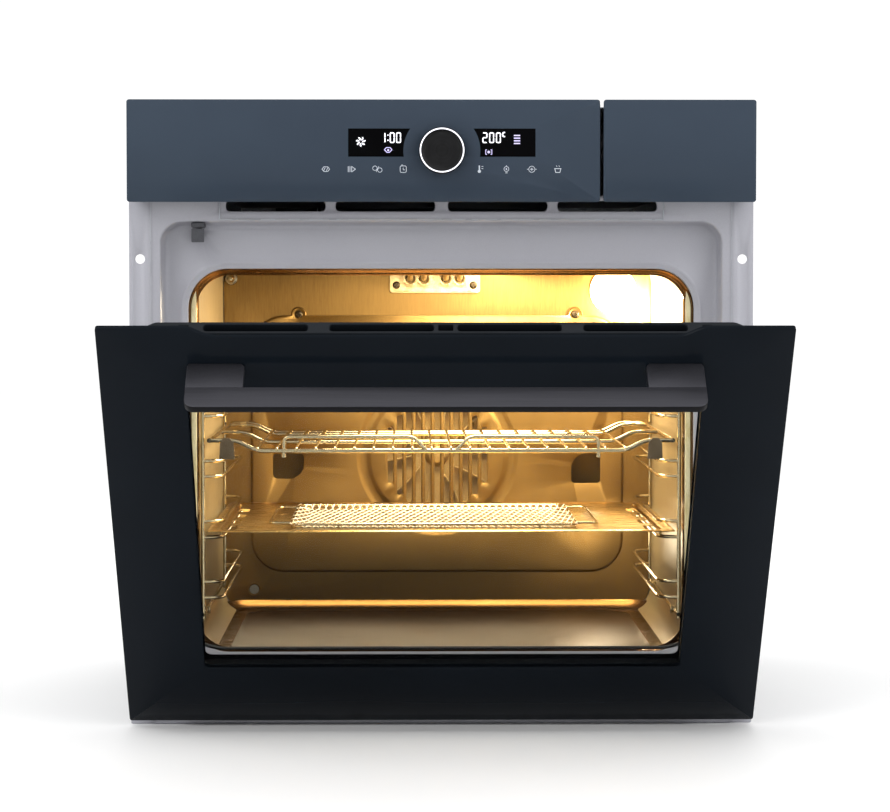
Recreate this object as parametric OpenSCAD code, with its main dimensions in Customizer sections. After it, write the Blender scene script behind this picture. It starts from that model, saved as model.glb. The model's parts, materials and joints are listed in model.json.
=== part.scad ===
// Built-in wall oven with a drop-down glass door, a control fascia and a water tank drawer.
// Frame: X to the right, +Y into the oven, +Z up, origin at the centre of the underside.
// Inside the modules, y is the depth behind the front face of the glass.

/* [Overall size] */
// Width of the fascia and the door
front_w = 595; // [560:1:600]
// Height from the underside to the top of the fascia
front_h = 595; // [590:1:600]
// Depth of the steel case behind the front frame
case_depth = 547; // [540:1:560]
// Width of the steel case
case_w = 556; // [552:1:560]
// Thickness of the outer sheet metal
sheet = 1.2; // [0.8:0.1:1.4]

/* [Front] */
// Thickness of the front glass
glass = 4; // [3:0.5:4]
// Height of the control fascia
fascia_h = 96.5; // [92:0.5:98]
// X of the right edge of the control glass
fascia_split = 149.5; // [148:0.5:150]
// Gap between the control glass and the tank front
fascia_gap = 3.5; // [2:0.5:4]
// Depth of the flange plane behind the front face
flange_d = 21; // [21:0.5:22]
// Half width of the recess that takes the door's inner body
recess_x = 267; // [264:1:268]
// Height of the recess's top edge
recess_top = 479.5; // [478:0.5:481]
// Depth of the recess's floor
recess_d = 45; // [45:0.5:46]
// Radius of the cabinet screw holes
screw_hole_r = 4.65; // [3:0.05:5]
// X of the cabinet screw holes
screw_x = 287; // [285:0.5:288]
// Height of the upper cabinet screw holes
screw_z_high = 444.7; // [430:0.1:450]
// Height of the lower cabinet screw holes
screw_z_low = 60.7; // [50:0.1:70]

/* [Cavity] */
// Half width inside the cavity
cavity_x = 234; // [233:0.5:235]
// Height of the cavity floor
cavity_z0 = 64; // [64:0.5:65]
// Height of the cavity ceiling
cavity_z1 = 446; // [445:0.5:447]
// Depth of the cavity's rear wall
cavity_d1 = 430; // [429:0.5:431]
// Half width of the opening in the front frame
mouth_x = 243; // [242:0.5:244]
// Height of the opening's top edge
mouth_top = 435.5; // [434:0.5:437]
// Corner radius of the opening
mouth_r = 38; // [30:1:40]
// Height of the fan's axis
fan_z = 234; // [232:1:236]

/* [Door] */
// Angle at which the door stands open
door_angle = 38; // [0:1:90]
// Height of the door glass
door_h = 480; // [480:1:485]
// Height of the door's lower edge when shut
door_z0 = 9; // [9:0.5:10]
// Depth of the hinge pin
pivot_d = 10; // [9.5:0.5:10]
// Height of the hinge pin above the door's lower edge
pivot_h = 9.5; // [9:0.5:10]
// Half width of the clear window
window_x = 223; // [218:1:224]
// Height of the window's lower edge above the door's lower edge
window_h0 = 72.5; // [70:0.5:78]
// Height of the window's upper edge above the door's lower edge
window_h1 = 400; // [390:1:404]

/* [Handle] */
// Half length of the handle
handle_x = 221; // [200:1:222]
// How far the handle's front edge stands off the glass
handle_out = 57; // [50:1:60]
// Depth of the bar from front to back
handle_bar_w = 25; // [20:1:26]
// Thickness of the bar
handle_t = 7; // [6:0.5:9]
// Height of the bar's top face above the door's lower edge
handle_h = 442; // [436:1:444]
// Width of each bracket
bracket_w = 49; // [40:1:60]

/* [Racks] */
// Heights of the rails of the side racks
rail_z = [116.5, 132, 175.5, 191, 234.5, 249.5, 293, 308, 351.5, 366.5];
// X of the rails
rail_x = 212; // [210:0.5:213]
// X of the side racks' uprights
upright_x = 230; // [229.5:0.5:230]
// Radius of the side racks' wire
rail_r = 1.7; // [1.2:0.1:1.8]

/* [Knob] */
// Radius of the knob
knob_r = 21.8; // [21.5:0.1:23]
// How far the knob stands in front of the glass
knob_out = 14; // [10:1:18]

/* [Hidden] */
$fn = 48;
face_y = -(flange_d + sheet / 2 + case_depth / 2);
case_x = case_w / 2;
case_d0 = flange_d + sheet;
case_d1 = case_d0 + case_depth - sheet;
half_w = front_w / 2;
fascia_z0 = front_h - fascia_h;
knob_z = 546.7;
knob_gap = 2;
stem_hole_r = 5.5;
ring_r0 = 19.6;
ring_r1 = 21.1;
tank_x0 = fascia_split + fascia_gap;
case_top = 588;
frame_top = 505;
recess_z0 = 8;
recess_r = 20;
floor_d1 = recess_d + sheet;
skin = 1;
pocket_d = 32;
pivot_z = door_z0 + pivot_h;
door_in_d = 40;
door_in_x = 256;
inner_top_h = 448;
frit = 0.3;
hinge_x = 241;
pin_r = 3.45;
bore_r = 3.5;
lamp_x = 193;
lamp_z = 414;
fan_screw_x = 151.5;
fan_screw_z = 388;
probe_x = -225;
probe_z = 427;
nozzle_x = -201;
nozzle_z = 86;
wire_r = 2.2;
rack_d0 = 52;
rack_d1 = 412;
rack_bars = [rack_d0, 212, 368, rack_d1];
rack_z = 260;
rack_edge_z = 270;
rack_edge_x = 224;
tray_z = rail_z[2] + rail_r + 3.5;
tray_t = 1.2;
basket_z = tray_z + tray_t + 0.3;
rotor_d = 432;
rotor_z = 522;
rotor_x = 124;
duct_x = 212;
duct_z0 = 482;
duct_z1 = 504;
hose_r = 5;

// Places what is drawn in depth coordinates into the part's own frame.
module place() {
    translate([0, face_y, 0]) children();
}

// Places a door piece, drawn with the door shut, at the door's angle.
module place_door() {
    place() translate([0, pivot_d, pivot_z]) rotate([door_angle, 0, 0])
        translate([0, -pivot_d, -pivot_z]) children();
}

module both_sides() {
    children();
    mirror([1, 0, 0]) children();
}

// A block between two depths.
module block(x0, x1, d0, d1, z0, z1) {
    translate([x0, d0, z0]) cube([x1 - x0, d1 - d0, z1 - z0]);
}

// A rectangle with arcs at its corners, centred on the origin.
module rounded(w, h, r) {
    square([w - 2 * r, h], center = true);
    square([w, h - 2 * r], center = true);
    for (sx = [-1, 1], sz = [-1, 1]) translate([sx * (w / 2 - r), sz * (h / 2 - r)]) circle(r);
}

// An upright plate with rounded corners, between two depths.
module panel(x0, x1, z0, z1, r, d0, d1) {
    translate([(x0 + x1) / 2, d1, (z0 + z1) / 2]) rotate([90, 0, 0]) linear_extrude(d1 - d0)
        rounded(x1 - x0, z1 - z0, r);
}

// A flat plate with rounded corners, between two heights.
module slab(x0, x1, d0, d1, r, z0, z1) {
    translate([(x0 + x1) / 2, (d0 + d1) / 2, z0]) linear_extrude(z1 - z0)
        rounded(x1 - x0, d1 - d0, r);
}

// A round bar along Y.
module along_y(x, z, r, d0, d1) {
    translate([x, d0, z]) rotate([-90, 0, 0]) cylinder(r = r, h = d1 - d0);
}

// A round bar along X.
module along_x(d, z, r, x0, x1) {
    translate([x0, d, z]) rotate([0, 90, 0]) cylinder(r = r, h = x1 - x0);
}

// A round bar between any two points.
module rod(p, q, r) {
    v = q - p;
    translate(p) rotate([0, acos(v.z / norm(v)), atan2(v.y, v.x)]) cylinder(r = r, h = norm(v));
}

// An eight-sided wire between two points.
module wire(p, q, r) {
    rod(p, q, r, $fn = 8);
}

// A tube through a list of points, with ball corners.
module tube_run(points, r) {
    for (i = [0 : len(points) - 2]) rod(points[i], points[i + 1], r);
    for (i = [1 : len(points) - 2]) translate(points[i]) sphere(r + 0.15);
}

// A rectangular sleeve along the depth, open at both ends.
module sleeve(x0, x1, d0, d1, z0, z1, t) {
    difference() {
        block(x0, x1, d0, d1, z0, z1);
        block(x0 + t, x1 - t, d0 - 1, d1 + 1, z0 + t, z1 - t);
    }
}

// ---- Case ----

module base_pan() {
    color("silver") place() difference() {
        block(-case_x, case_x, case_d0, case_d1, 0, sheet);
        for (x = [-180 : 60 : 180]) slab(x - 20, x + 20, 500, 506, 2.5, -1, sheet + 1);
    }
}

module side_panel() {
    difference() {
        block(case_x - sheet, case_x, case_d0, case_d1, sheet, case_top);
        for (d = [300 : 24 : 468]) block(case_x - 3, case_x + 1, d, d + 6, 520, 560);
    }
}

module side_panel_left() {
    color("silver") place() mirror([1, 0, 0]) side_panel();
}

module side_panel_right() {
    color("silver") place() side_panel();
}

module top_cover() {
    color("silver") place() difference() {
        block(-case_x, case_x, case_d0, case_d1, case_top, case_top + sheet);
        for (x = [-150 : 30 : 150]) slab(x - 4, x + 4, 480, 530, 3.9, case_top - 1, case_top + 3);
    }
}

module rear_panel() {
    inside = case_x - sheet;
    color("silver") place() difference() {
        block(-inside, inside, case_d1 - sheet, case_d1, sheet, case_top);
        for (z = [300 : 14 : 440]) panel(-70, 70, z, z + 6, 2.9, case_d1 - 3, case_d1 + 1);
        along_y(-180, 540, 10.2, case_d1 - 3, case_d1 + 1);
    }
}

// ---- Front frame and cavity ----

module mouth_shape(grow, d0, d1) {
    panel(-mouth_x - grow, mouth_x + grow, 66 - grow, mouth_top + grow, mouth_r + grow, d0, d1);
}

module front_frame() {
    recess = recess_x + sheet;
    color([0.61, 0.61, 0.64]) place() difference() {
        union() {
            panel(-half_w, half_w, 0, frame_top, 1, flange_d, case_d0);
            panel(-recess, recess, recess_z0 - sheet, recess_top + sheet, recess_r + sheet,
                  flange_d, floor_d1);
            difference() {
                mouth_shape(8, recess_d - 1.5, recess_d);
                mouth_shape(4, recess_d - 2, recess_d + 1);
            }
        }
        difference() {
            panel(-recess_x, recess_x, recess_z0, recess_top, recess_r, flange_d - 1, recess_d);
            difference() {
                mouth_shape(8, recess_d - 1.5, recess_d + 1);
                mouth_shape(4, recess_d - 2, recess_d + 2);
            }
        }
        mouth_shape(0, recess_d - 1, floor_d1 + 1);
        for (s = [-1, 1]) {
            block(s * hinge_x - 6, s * hinge_x + 6, recess_d - 1, floor_d1 + 1, 9, 31);
            for (z = [screw_z_low, screw_z_high])
                along_y(s * screw_x, z, screw_hole_r, flange_d - 1, case_d0 + 1);
            for (x = [53.5, 158]) panel(s * x - 47.5, s * x + 47.5, 490, 500, 4, flange_d - 1, case_d0 + 1);
        }
        block(-236, -229, recess_d - 1, floor_d1 + 1, 463, 472);
    }
}

module cavity_shape(grow, d0, d1) {
    panel(-cavity_x - grow, cavity_x + grow, cavity_z0 - grow, cavity_z1 + grow, 24 + grow, d0, d1);
}

module cavity_wrap() {
    color([0.62, 0.55, 0.43]) place() difference() {
        union() {
            cavity_shape(skin, floor_d1, cavity_d1);
            panel(-mouth_x - 4, mouth_x + 4, 58, cavity_z1 + skin, mouth_r, floor_d1, floor_d1 + skin);
        }
        cavity_shape(0, floor_d1 + skin, cavity_d1 + 1);
        panel(-cavity_x - 3, cavity_x + 3, 67, mouth_top - 2, mouth_r - 4, floor_d1 - 1, floor_d1 + 2);
    }
}

module cavity_rear_wall() {
    back = cavity_d1 + skin;
    color([0.62, 0.55, 0.43]) place() difference() {
        union() {
            cavity_shape(skin, cavity_d1, back);
            panel(-172, 172, 132, 374, 25, back - skin, back + pocket_d);
        }
        panel(-171, 171, 133, 373, 24, cavity_d1 - 1, back + pocket_d - skin);
        along_y(0, fan_z, 12, back, back + pocket_d + 1);
        for (x = [-12, 12]) along_y(x, fan_z - 92, 5, back, back + pocket_d + 1);
        along_y(lamp_x, lamp_z, 20, cavity_d1 - 1, back + 1);
        along_y(probe_x, probe_z, 4.3, cavity_d1 - 1, back + 1);
        along_y(nozzle_x, nozzle_z, 5, cavity_d1 - 1, back + 1);
        for (x = [-27, -12.5, 12.5, 27]) along_y(x, probe_z, 4.5, cavity_d1 - 1, back + 1);
    }
}

module insulation_blanket() {
    color([0.86, 0.82, 0.7]) place() difference() {
        panel(-258, 258, 36, 471, 30, 50, cavity_d1 - 1);
        panel(-cavity_x - 2, cavity_x + 2, 47, cavity_z1 + 2, 12, 49, cavity_d1);
        block(-260, 260, 49, 125, 30, 46);
    }
}

module fan_cover() {
    d0 = cavity_d1 - 4.2;
    grille_r = 62;
    slot_pitch = 10.3;
    color([0.6, 0.56, 0.48]) place() difference() {
        union() {
            panel(-204, 204, 105, 387, 36, d0, cavity_d1 - 0.2);
            for (s = [-1, 1]) along_y(s * fan_screw_x, fan_screw_z, 8, d0, cavity_d1 - 0.2);
        }
        panel(-202.8, 202.8, 106.2, 385.8, 34.8, d0 + sheet, cavity_d1);
        for (i = [-5 : 5]) {
            x = i * slot_pitch;
            reach = sqrt(grille_r * grille_r - x * x) - 2;
            panel(x - 3, x + 3, fan_z - reach, fan_z + reach, 2.9, d0 - 1, d0 + 3);
        }
        for (s = [-1, 1]) {
            block(s * 164 - 16, s * 164 + 16, d0 - 1, d0 + 3, 204, 235.5);
            along_y(s * fan_screw_x, fan_screw_z, 6.8, d0 + sheet, cavity_d1);
        }
    }
}

module cavity_screws() {
    color([0.35, 0.32, 0.28]) place() {
        for (s = [-1, 1]) {
            along_y(s * fan_screw_x, fan_screw_z, 4.5, cavity_d1 - 6.4, cavity_d1 - 4.2);
            along_y(s * 42, 420, 4, cavity_d1 - 5, cavity_d1 - 3);
        }
    }
}

// ---- Convection fan ----

module convection_motor() {
    back = cavity_d1 + skin + pocket_d;
    color([0.45, 0.45, 0.47]) place() difference() {
        union() {
            along_y(0, fan_z, 30, back + 4, back + 44);
            block(-55, 55, back, back + 4, fan_z - 14, fan_z + 14);
            along_y(0, fan_z, 38, back + 16, back + 32);
        }
        along_y(0, fan_z, 7, back - 1, back + 20);
    }
}

module convection_fan() {
    d0 = cavity_d1 + 2;
    color([0.7, 0.7, 0.7]) place() {
        along_y(0, fan_z, 74, d0 + 19, d0 + 20);
        along_y(0, fan_z, 14, d0 + 4, d0 + 19);
        along_y(0, fan_z, 4, d0 + 20, d0 + 48);
        for (i = [0 : 9]) translate([0, 0, fan_z]) rotate([0, i * 36, 0])
            translate([24, d0, -0.6]) cube([46, 19, 1.2]);
    }
}

module ring_heater() {
    d = cavity_d1 + 12;
    color([0.3, 0.28, 0.27]) place() {
        translate([0, d, fan_z]) rotate([90, 0, 0]) rotate_extrude() translate([92, 0]) circle(3.3);
        for (x = [-12, 12]) along_y(x, fan_z - 92, 3.2, d, d + 36);
    }
}

// ---- Heaters, lamp and probe ----

module grill_element() {
    d = cavity_d1 - 3;
    z = 438;
    color([0.72, 0.66, 0.55]) place() {
        difference() {
            panel(-50, 50, 411, 444, 3, d, cavity_d1 - 0.2);
            for (s = [-1, 1]) along_y(s * 42, 420, 2.5, d - 1, d + 4);
        }
        for (s = [-1, 1]) tube_run([
            [s * 12.5, d + 10, probe_z], [s * 12.5, d - 8, probe_z], [s * 12.5, d - 24, z],
            [s * 12.5, 90, z], [s * 190, 90, z], [s * 190, d - 40, z], [s * 27, d - 40, z],
            [s * 27, d - 24, z], [s * 27, d - 8, probe_z], [s * 27, d + 10, probe_z]
        ], 3.2);
        for (x = [-27, -12.5, 12.5, 27]) along_y(x, probe_z, 5.6, d - 6, d);
    }
}

module bottom_heater() {
    z = 55;
    color([0.3, 0.28, 0.27]) place() tube_run([
        [-20, 424, z], [-20, 330, z], [-150, 330, z], [-150, 120, z],
        [150, 120, z], [150, 330, z], [20, 330, z], [20, 424, z]
    ], 3.2);
}

module lamp_housing() {
    back = cavity_d1 + skin;
    color([0.75, 0.75, 0.75]) place() difference() {
        union() {
            along_y(lamp_x, lamp_z, 22, back, back + 36);
            along_y(lamp_x, lamp_z, 12, back + 36, back + 48);
        }
        along_y(lamp_x, lamp_z, 19, back - 1, back + 34);
    }
}

module lamp_bulb() {
    color([1, 0.9, 0.6]) place() {
        along_y(lamp_x, lamp_z, 7, cavity_d1 + 8, cavity_d1 + 24);
        along_y(lamp_x, lamp_z, 5, cavity_d1 + 24, cavity_d1 + 35);
    }
}

module lamp_glass() {
    color([1, 0.95, 0.8]) place() difference() {
        union() {
            along_y(lamp_x, lamp_z, 23.6, cavity_d1 - 8, cavity_d1);
            along_y(lamp_x, lamp_z, 18.8, cavity_d1, cavity_d1 + 5);
        }
        along_y(lamp_x, lamp_z, 17.5, cavity_d1 - 5, cavity_d1 + 6);
    }
}

module temperature_probe() {
    color([0.7, 0.68, 0.62]) place() {
        along_y(probe_x, probe_z, 4, cavity_d1 - 16, cavity_d1 + 12);
        translate([probe_x, cavity_d1 - 16, probe_z]) sphere(4.2);
        along_y(probe_x, probe_z, 6, cavity_d1 + skin, cavity_d1 + 20);
    }
}

// ---- Side racks ----

module side_rack() {
    front = 62;
    rear = 398;
    for (d = [front, rear]) wire([upright_x, d, 100], [upright_x, d, 372], 2);
    for (z = [100, 372]) wire([upright_x, front - 2, z], [upright_x, rear + 2, z], 2);
    for (z = rail_z) {
        wire([rail_x, front + 16, z], [rail_x, rear - 16, z], rail_r);
        wire([upright_x, front, z], [rail_x, front + 16.4, z], rail_r);
        wire([upright_x, rear, z], [rail_x, rear - 16.4, z], rail_r);
    }
    for (d = [110, 350], z = [100, 372]) wire([upright_x, d, z], [cavity_x, d, z], 3);
}

module side_rack_left() {
    color([0.8, 0.78, 0.72]) place() mirror([1, 0, 0]) side_rack();
}

module side_rack_right() {
    color([0.8, 0.78, 0.72]) place() side_rack();
}

// ---- Door hinges ----

module hinge_receivers() {
    color([0.7, 0.7, 0.72]) place() both_sides() difference() {
        block(hinge_x - 7, hinge_x + 7, floor_d1, 122, 9, 33);
        block(hinge_x - 5.5, hinge_x + 5.5, floor_d1 - 1, 120.5, 10.5, 31.5);
    }
}

module hinge_arm() {
    difference() {
        union() {
            block(hinge_x - 3, hinge_x + 3, pivot_d, 116, pivot_z - 5.5, pivot_z + 5.5);
            along_x(pivot_d, pivot_z, 5.5, hinge_x - 3, hinge_x + 3);
        }
        block(hinge_x - 4, hinge_x + 4, 60, 68, pivot_z - 6, pivot_z - 2);
    }
    along_x(pivot_d, pivot_z, pin_r, hinge_x - 7.5, hinge_x + 7.5);
}

module hinge_arm_left() {
    color([0.6, 0.6, 0.62]) place() mirror([1, 0, 0]) hinge_arm();
}

module hinge_arm_right() {
    color([0.6, 0.6, 0.62]) place() hinge_arm();
}

module hinge_springs() {
    turns = 9;
    color([0.5, 0.5, 0.52]) place() both_sides() translate([hinge_x, 116, pivot_z + 9.2])
        rotate([90, 0, 0]) linear_extrude(50, twist = -360 * turns, slices = 8 * turns, $fn = 6)
        translate([2.2, 0]) circle(0.6);
}

module hinge_channels() {
    h0 = door_z0 + 4;
    color([0.6, 0.6, 0.62]) place_door() both_sides() difference() {
        block(hinge_x - 7, hinge_x + 7, 4.8, 32, h0, door_z0 + 196);
        block(hinge_x - 4, hinge_x + 4, 4, 40, h0 - 1, door_z0 + 22);
        block(hinge_x - 4, hinge_x + 4, 6.8, 40, h0 - 1, door_z0 + 197);
        along_x(pivot_d, pivot_z, bore_r, hinge_x - 9, hinge_x + 9);
    }
}

// ---- Cooling air ----

module cooling_fan_housing() {
    ends = rotor_x + 6;
    color([0.72, 0.73, 0.75]) place() difference() {
        union() {
            along_x(rotor_d, rotor_z, 38, -ends, ends);
            block(-ends, ends, 381, rotor_d, duct_z0 + 2, rotor_z);
        }
        along_x(rotor_d, rotor_z, 36.8, -ends + 1.2, ends - 1.2);
        block(-ends + 1.2, ends - 1.2, 380, rotor_d, duct_z0 + 3.2, duct_z1 - 1);
        along_x(rotor_d, rotor_z, 7, -ends - 1, ends + 1);
        block(-ends + 1.2, ends - 1.2, rotor_d - 8, rotor_d + 30, rotor_z + 20, rotor_z + 40);
    }
}

module cooling_motor() {
    color([0.4, 0.4, 0.42]) place() difference() {
        union() {
            along_x(rotor_d, rotor_z, 22, -176, -rotor_x - 6);
            block(-170, -140, rotor_d - 26, rotor_d + 26, rotor_z - 30, rotor_z + 8);
        }
        along_x(rotor_d, rotor_z, 4, -160, -rotor_x - 5);
    }
}

module cooling_rotor() {
    color([0.66, 0.67, 0.7]) place() {
        for (x = [-rotor_x, 0, rotor_x - 1.5]) along_x(rotor_d, rotor_z, 31, x, x + 1.5);
        along_x(rotor_d, rotor_z, 3, -rotor_x - 30, rotor_x + 6);
        for (i = [0 : 17]) translate([-rotor_x, rotor_d, rotor_z]) rotate([i * 20, 0, 0])
            translate([0, 22, -0.5]) cube([2 * rotor_x, 8, 1]);
    }
}

module air_duct() {
    color([0.72, 0.73, 0.75]) place() sleeve(-duct_x, duct_x, case_d0, 380.5, duct_z0, duct_z1, 1);
}

module terminal_block() {
    color([0.15, 0.15, 0.16]) place() difference() {
        union() {
            block(-215, -145, case_d1 - 20, case_d1 - sheet, 515, 565);
            along_y(-180, 540, 10, case_d1 - 10, case_d1 + 8);
        }
        along_y(-180, 540, 6.5, case_d1 - 12, case_d1 + 9);
    }
}

// ---- Control fascia ----

module control_glass() {
    color([0.26, 0.29, 0.34]) place() difference() {
        panel(-half_w, fascia_split, fascia_z0, front_h, 2.5, 0, glass);
        along_y(0, knob_z, stem_hole_r, -1, glass + 1);
    }
}

module control_carrier() {
    d1 = flange_d - 0.5;
    color([0.16, 0.16, 0.17]) place() difference() {
        block(-290, fascia_split + 0.5, glass, d1, 503, 591);
        block(-288, fascia_split - 1.5, glass - 1, d1 - 1.5, 505, 589);
    }
}

module control_board() {
    color([0.1, 0.3, 0.16]) place() difference() {
        union() {
            block(-150, 140, 12, 13.6, 510, 584);
            block(-8, 8, 13.6, 18.8, knob_z - 8, knob_z + 8);
        }
        along_y(0, knob_z, 3.05, 11, 20);
    }
}

module display_modules() {
    color([0.03, 0.03, 0.04]) place() {
        for (x = [[-89, -31], [31, 89]]) difference() {
            block(x[0], x[1], glass + 0.2, 11.8, 541, 567.5);
            along_y(0, knob_z, 33, glass, 12);
        }
    }
}

module light_ring() {
    color([0.95, 0.95, 1]) place() difference() {
        along_y(0, knob_z, ring_r1, -knob_out, -knob_out + 2);
        along_y(0, knob_z, ring_r0, -knob_out - 1, -knob_out + 3);
    }
}

module knob_stem() {
    color([0.6, 0.6, 0.62]) place() along_y(0, knob_z, 3, -8.9, 17);
}

module knob() {
    color([0.05, 0.05, 0.06]) place() difference() {
        union() {
            along_y(0, knob_z, knob_r, -knob_out + 0.5, -knob_gap);
            along_y(0, knob_z, knob_r - 0.4, -knob_out, -knob_out + 0.5);
        }
        difference() {
            along_y(0, knob_z, ring_r1 + 0.1, -knob_out - 1, -knob_out + 2);
            along_y(0, knob_z, ring_r0 - 0.1, -knob_out - 2, -knob_out + 3);
        }
        difference() {
            along_y(0, knob_z, knob_r - 2, -5, 3);
            along_y(0, knob_z, 6, -6, 4);
        }
        along_y(0, knob_z, 3.05, -9, 3);
    }
}

module door_switch_housing() {
    color([0.08, 0.08, 0.09]) place() {
        block(-239, -225.5, 22, recess_d, 474.5, 479.4);
        block(-235.5, -229.5, recess_d, 49.5, 464, 471);
        block(-235.5, -229.5, 38, recess_d, 464, 474.5);
    }
}

module door_switch_lever() {
    color([0.08, 0.08, 0.09]) place() {
        block(-238.5, -226, 22, 24, 460.5, 473.8);
        block(-235, -230, 24, 30, 468, 471);
    }
}

// ---- Steam supply ----

module steam_boiler() {
    color([0.7, 0.7, 0.68]) place() {
        translate([-243, 200, 472]) cylinder(r = 27, h = 6);
        translate([-243, 200, 478]) cylinder(r = 24, h = 66);
        translate([-243, 200, 544]) cylinder(r = 9, h = 12);
    }
}

module water_pump() {
    color([0.2, 0.2, 0.22]) place() {
        block(222, 266, 262, 320, 472, 506);
        along_y(244, 520, 13, 266, 318);
    }
}

module water_hoses() {
    color([0.85, 0.85, 0.83]) place() {
        tube_run([[217, 251.5, 540], [217, 290, 540], [217, 290, 560], [244, 290, 560],
                  [244, 290, 533.2]], hose_r);
        tube_run([[244, 320.2, 489], [244, 500, 489], [-243, 500, 489], [-243, 224.2, 489]], hose_r);
        tube_run([[-266, 200, 471.8], [-266, 200, nozzle_z], [-266, 480, nozzle_z],
                  [nozzle_x, 480, nozzle_z], [nozzle_x, cavity_d1 + skin + 0.2, nozzle_z]], hose_r);
    }
}

// ---- Water tank drawer ----

module tank_housing() {
    color([0.2, 0.2, 0.22]) place() difference() {
        block(162, 273, case_d0, 251.5, 508, 583);
        block(163.5, 271.5, case_d0 - 1, 250, 509.5, 581.5);
    }
}

module water_tank() {
    color([0.75, 0.78, 0.8]) place() difference() {
        union() {
            block(158, 291, glass, 19, 503, 590.5);
            block(166, 269, 19, 246, 512, 572);
        }
        block(168, 267, 21, 244, 514, 573);
        block(164, 285, glass - 1, 16, 509, 584);
    }
}

module tank_lid() {
    color([0.6, 0.63, 0.66]) place() difference() {
        union() {
            slab(166, 269, 20, 246, 3, 572, 574.5);
            slab(200, 235, 60, 90, 5, 574.5, 578);
        }
        slab(204, 231, 64, 86, 3, 575, 579);
    }
}

module tank_front() {
    color([0.26, 0.29, 0.34]) place()
        panel(tank_x0, half_w, fascia_z0, front_h, 2.5, 0, glass);
}

// ---- Cookware ----

module rack_side() {
    for (d = rack_bars) {
        wire([180, d, rack_z], [198.5, d, rack_edge_z], wire_r);
        wire([197.5, d, rack_edge_z], [rack_edge_x + 1, d, rack_edge_z], wire_r);
    }
    wire([rack_edge_x, rack_d0 - 2, rack_edge_z], [rack_edge_x, rack_d1 + 2, rack_edge_z], wire_r);
    for (d = [rack_d0 + 4, rack_d1 - 22])
        block(204, 206, d, d + 18, rail_z[5] + rail_r + 0.3, rack_edge_z + 1);
    wire([152, rack_d0, rack_z + 1], [152, rack_d0, rack_z + 14.6], 1.6);
    wire([153, rack_d0, rack_z + 13.5], [27, rack_d0, rack_z + 13.5], 1.6);
    wire([27.6, rack_d0, rack_z + 13.9], [17, rack_d0, rack_z + 1], 1.6);
}

module wire_rack() {
    color([0.82, 0.8, 0.75]) place() {
        both_sides() rack_side();
        for (d = rack_bars) wire([-181, d, rack_z], [181, d, rack_z], wire_r);
        for (i = [0 : 19]) {
            x = (i - 9.5) * 18.7;
            wire([x, rack_d0 - 2, rack_z + 2.6], [x, rack_d1 + 2, rack_z + 2.6], 1.3);
        }
    }
}

module perforated_tray() {
    color([0.75, 0.7, 0.6]) place() difference() {
        union() {
            slab(-227, 227, 50, 415, 6, tray_z, tray_z + tray_t);
            for (s = [-1, 1]) block(s * 213.2 - 2, s * 213.2 + 2, 62, 403, tray_z - 3.2, tray_z + 0.5);
        }
        for (s = [-1, 1], i = [0 : 3])
            slab(s * 205 - 5.5, s * 205 + 5.5, 71 + i * 75.5, 121 + i * 75.5, 5.4, tray_z - 4, tray_z + 3);
    }
}

module mesh_basket() {
    t = 1.2;
    top = basket_z + 6;
    color([0.8, 0.78, 0.7]) place() translate([-7, 0, 0]) {
        difference() {
            slab(-141, 141, 72, 322, 12, basket_z, top);
            slab(-141 + 2 * t, 141 - 2 * t, 72 + 2 * t, 322 - 2 * t, 10, basket_z + t, top + 1);
        }
        both_sides() difference() {
            slab(139, 162, 86, 292, 6, top - 2.6, top);
            slab(130, 159, 89, 289, 4, top - 3, top + 1);
        }
    }
}

// ---- Door ----

module door_glass_outer() {
    top = door_z0 + door_h;
    color([0.1, 0.12, 0.15]) place_door() difference() {
        panel(-half_w, half_w, door_z0, top, 2.5, 0, glass);
        translate([0, glass + 1, 0]) rotate([90, 0, 0]) linear_extrude(glass + 2)
            polygon([[-219, top + 1], [-202, top - 9.6], [202, top - 9.6], [219, top + 1]]);
    }
}

module door_frit() {
    top = door_z0 + door_h;
    color([0.05, 0.06, 0.08]) place_door() difference() {
        panel(-half_w + 1, half_w - 1, door_z0 + 1, top - 8, 2, glass, glass + frit);
        panel(-window_x, window_x, door_z0 + window_h0, door_z0 + window_h1, 5, glass - 1, glass + 1);
    }
}

module door_glass_middle() {
    color([0.5, 0.6, 0.6]) place_door()
        panel(-225.7, 225.7, door_z0 + 47.3, door_z0 + 404.7, 2, 17, 20);
}

module door_glass_inner() {
    color([0.5, 0.6, 0.6]) place_door()
        panel(-251, 251, door_z0 + 20, door_z0 + inner_top_h, 4, door_in_d - glass, door_in_d);
}

module door_gasket() {
    d1 = recess_d - 1.9;
    color([0.2, 0.2, 0.2]) place_door() difference() {
        panel(-mouth_x - 3, mouth_x + 3, 63, mouth_top + 3, mouth_r + 3, door_in_d, d1);
        panel(-mouth_x + 1, mouth_x - 1, 67, mouth_top - 1, mouth_r - 1, door_in_d - 1, d1 + 1);
    }
}

module door_frame() {
    z0 = door_z0 + 14;
    d0 = glass + frit;
    d1 = door_in_d - glass;
    color([0.12, 0.12, 0.13]) place_door() difference() {
        block(-door_in_x, door_in_x, d0, d1, z0, door_z0 + inner_top_h);
        block(-226, 226, d0 - 1, d1 + 1, door_z0 + 47, door_z0 + 405);
        for (s = [-1, 1])
            block(s * hinge_x - 7.5, s * hinge_x + 7.5, d0 - 1, d1 + 1, z0 - 1, door_z0 + 198);
        block(-220, 220, d0 + 2, d1 - 2, z0 - 1, door_z0 + 41);
        block(-220, 220, d0 + 2, d1 - 2, door_z0 + 411, door_z0 + inner_top_h + 1);
    }
}

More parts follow.
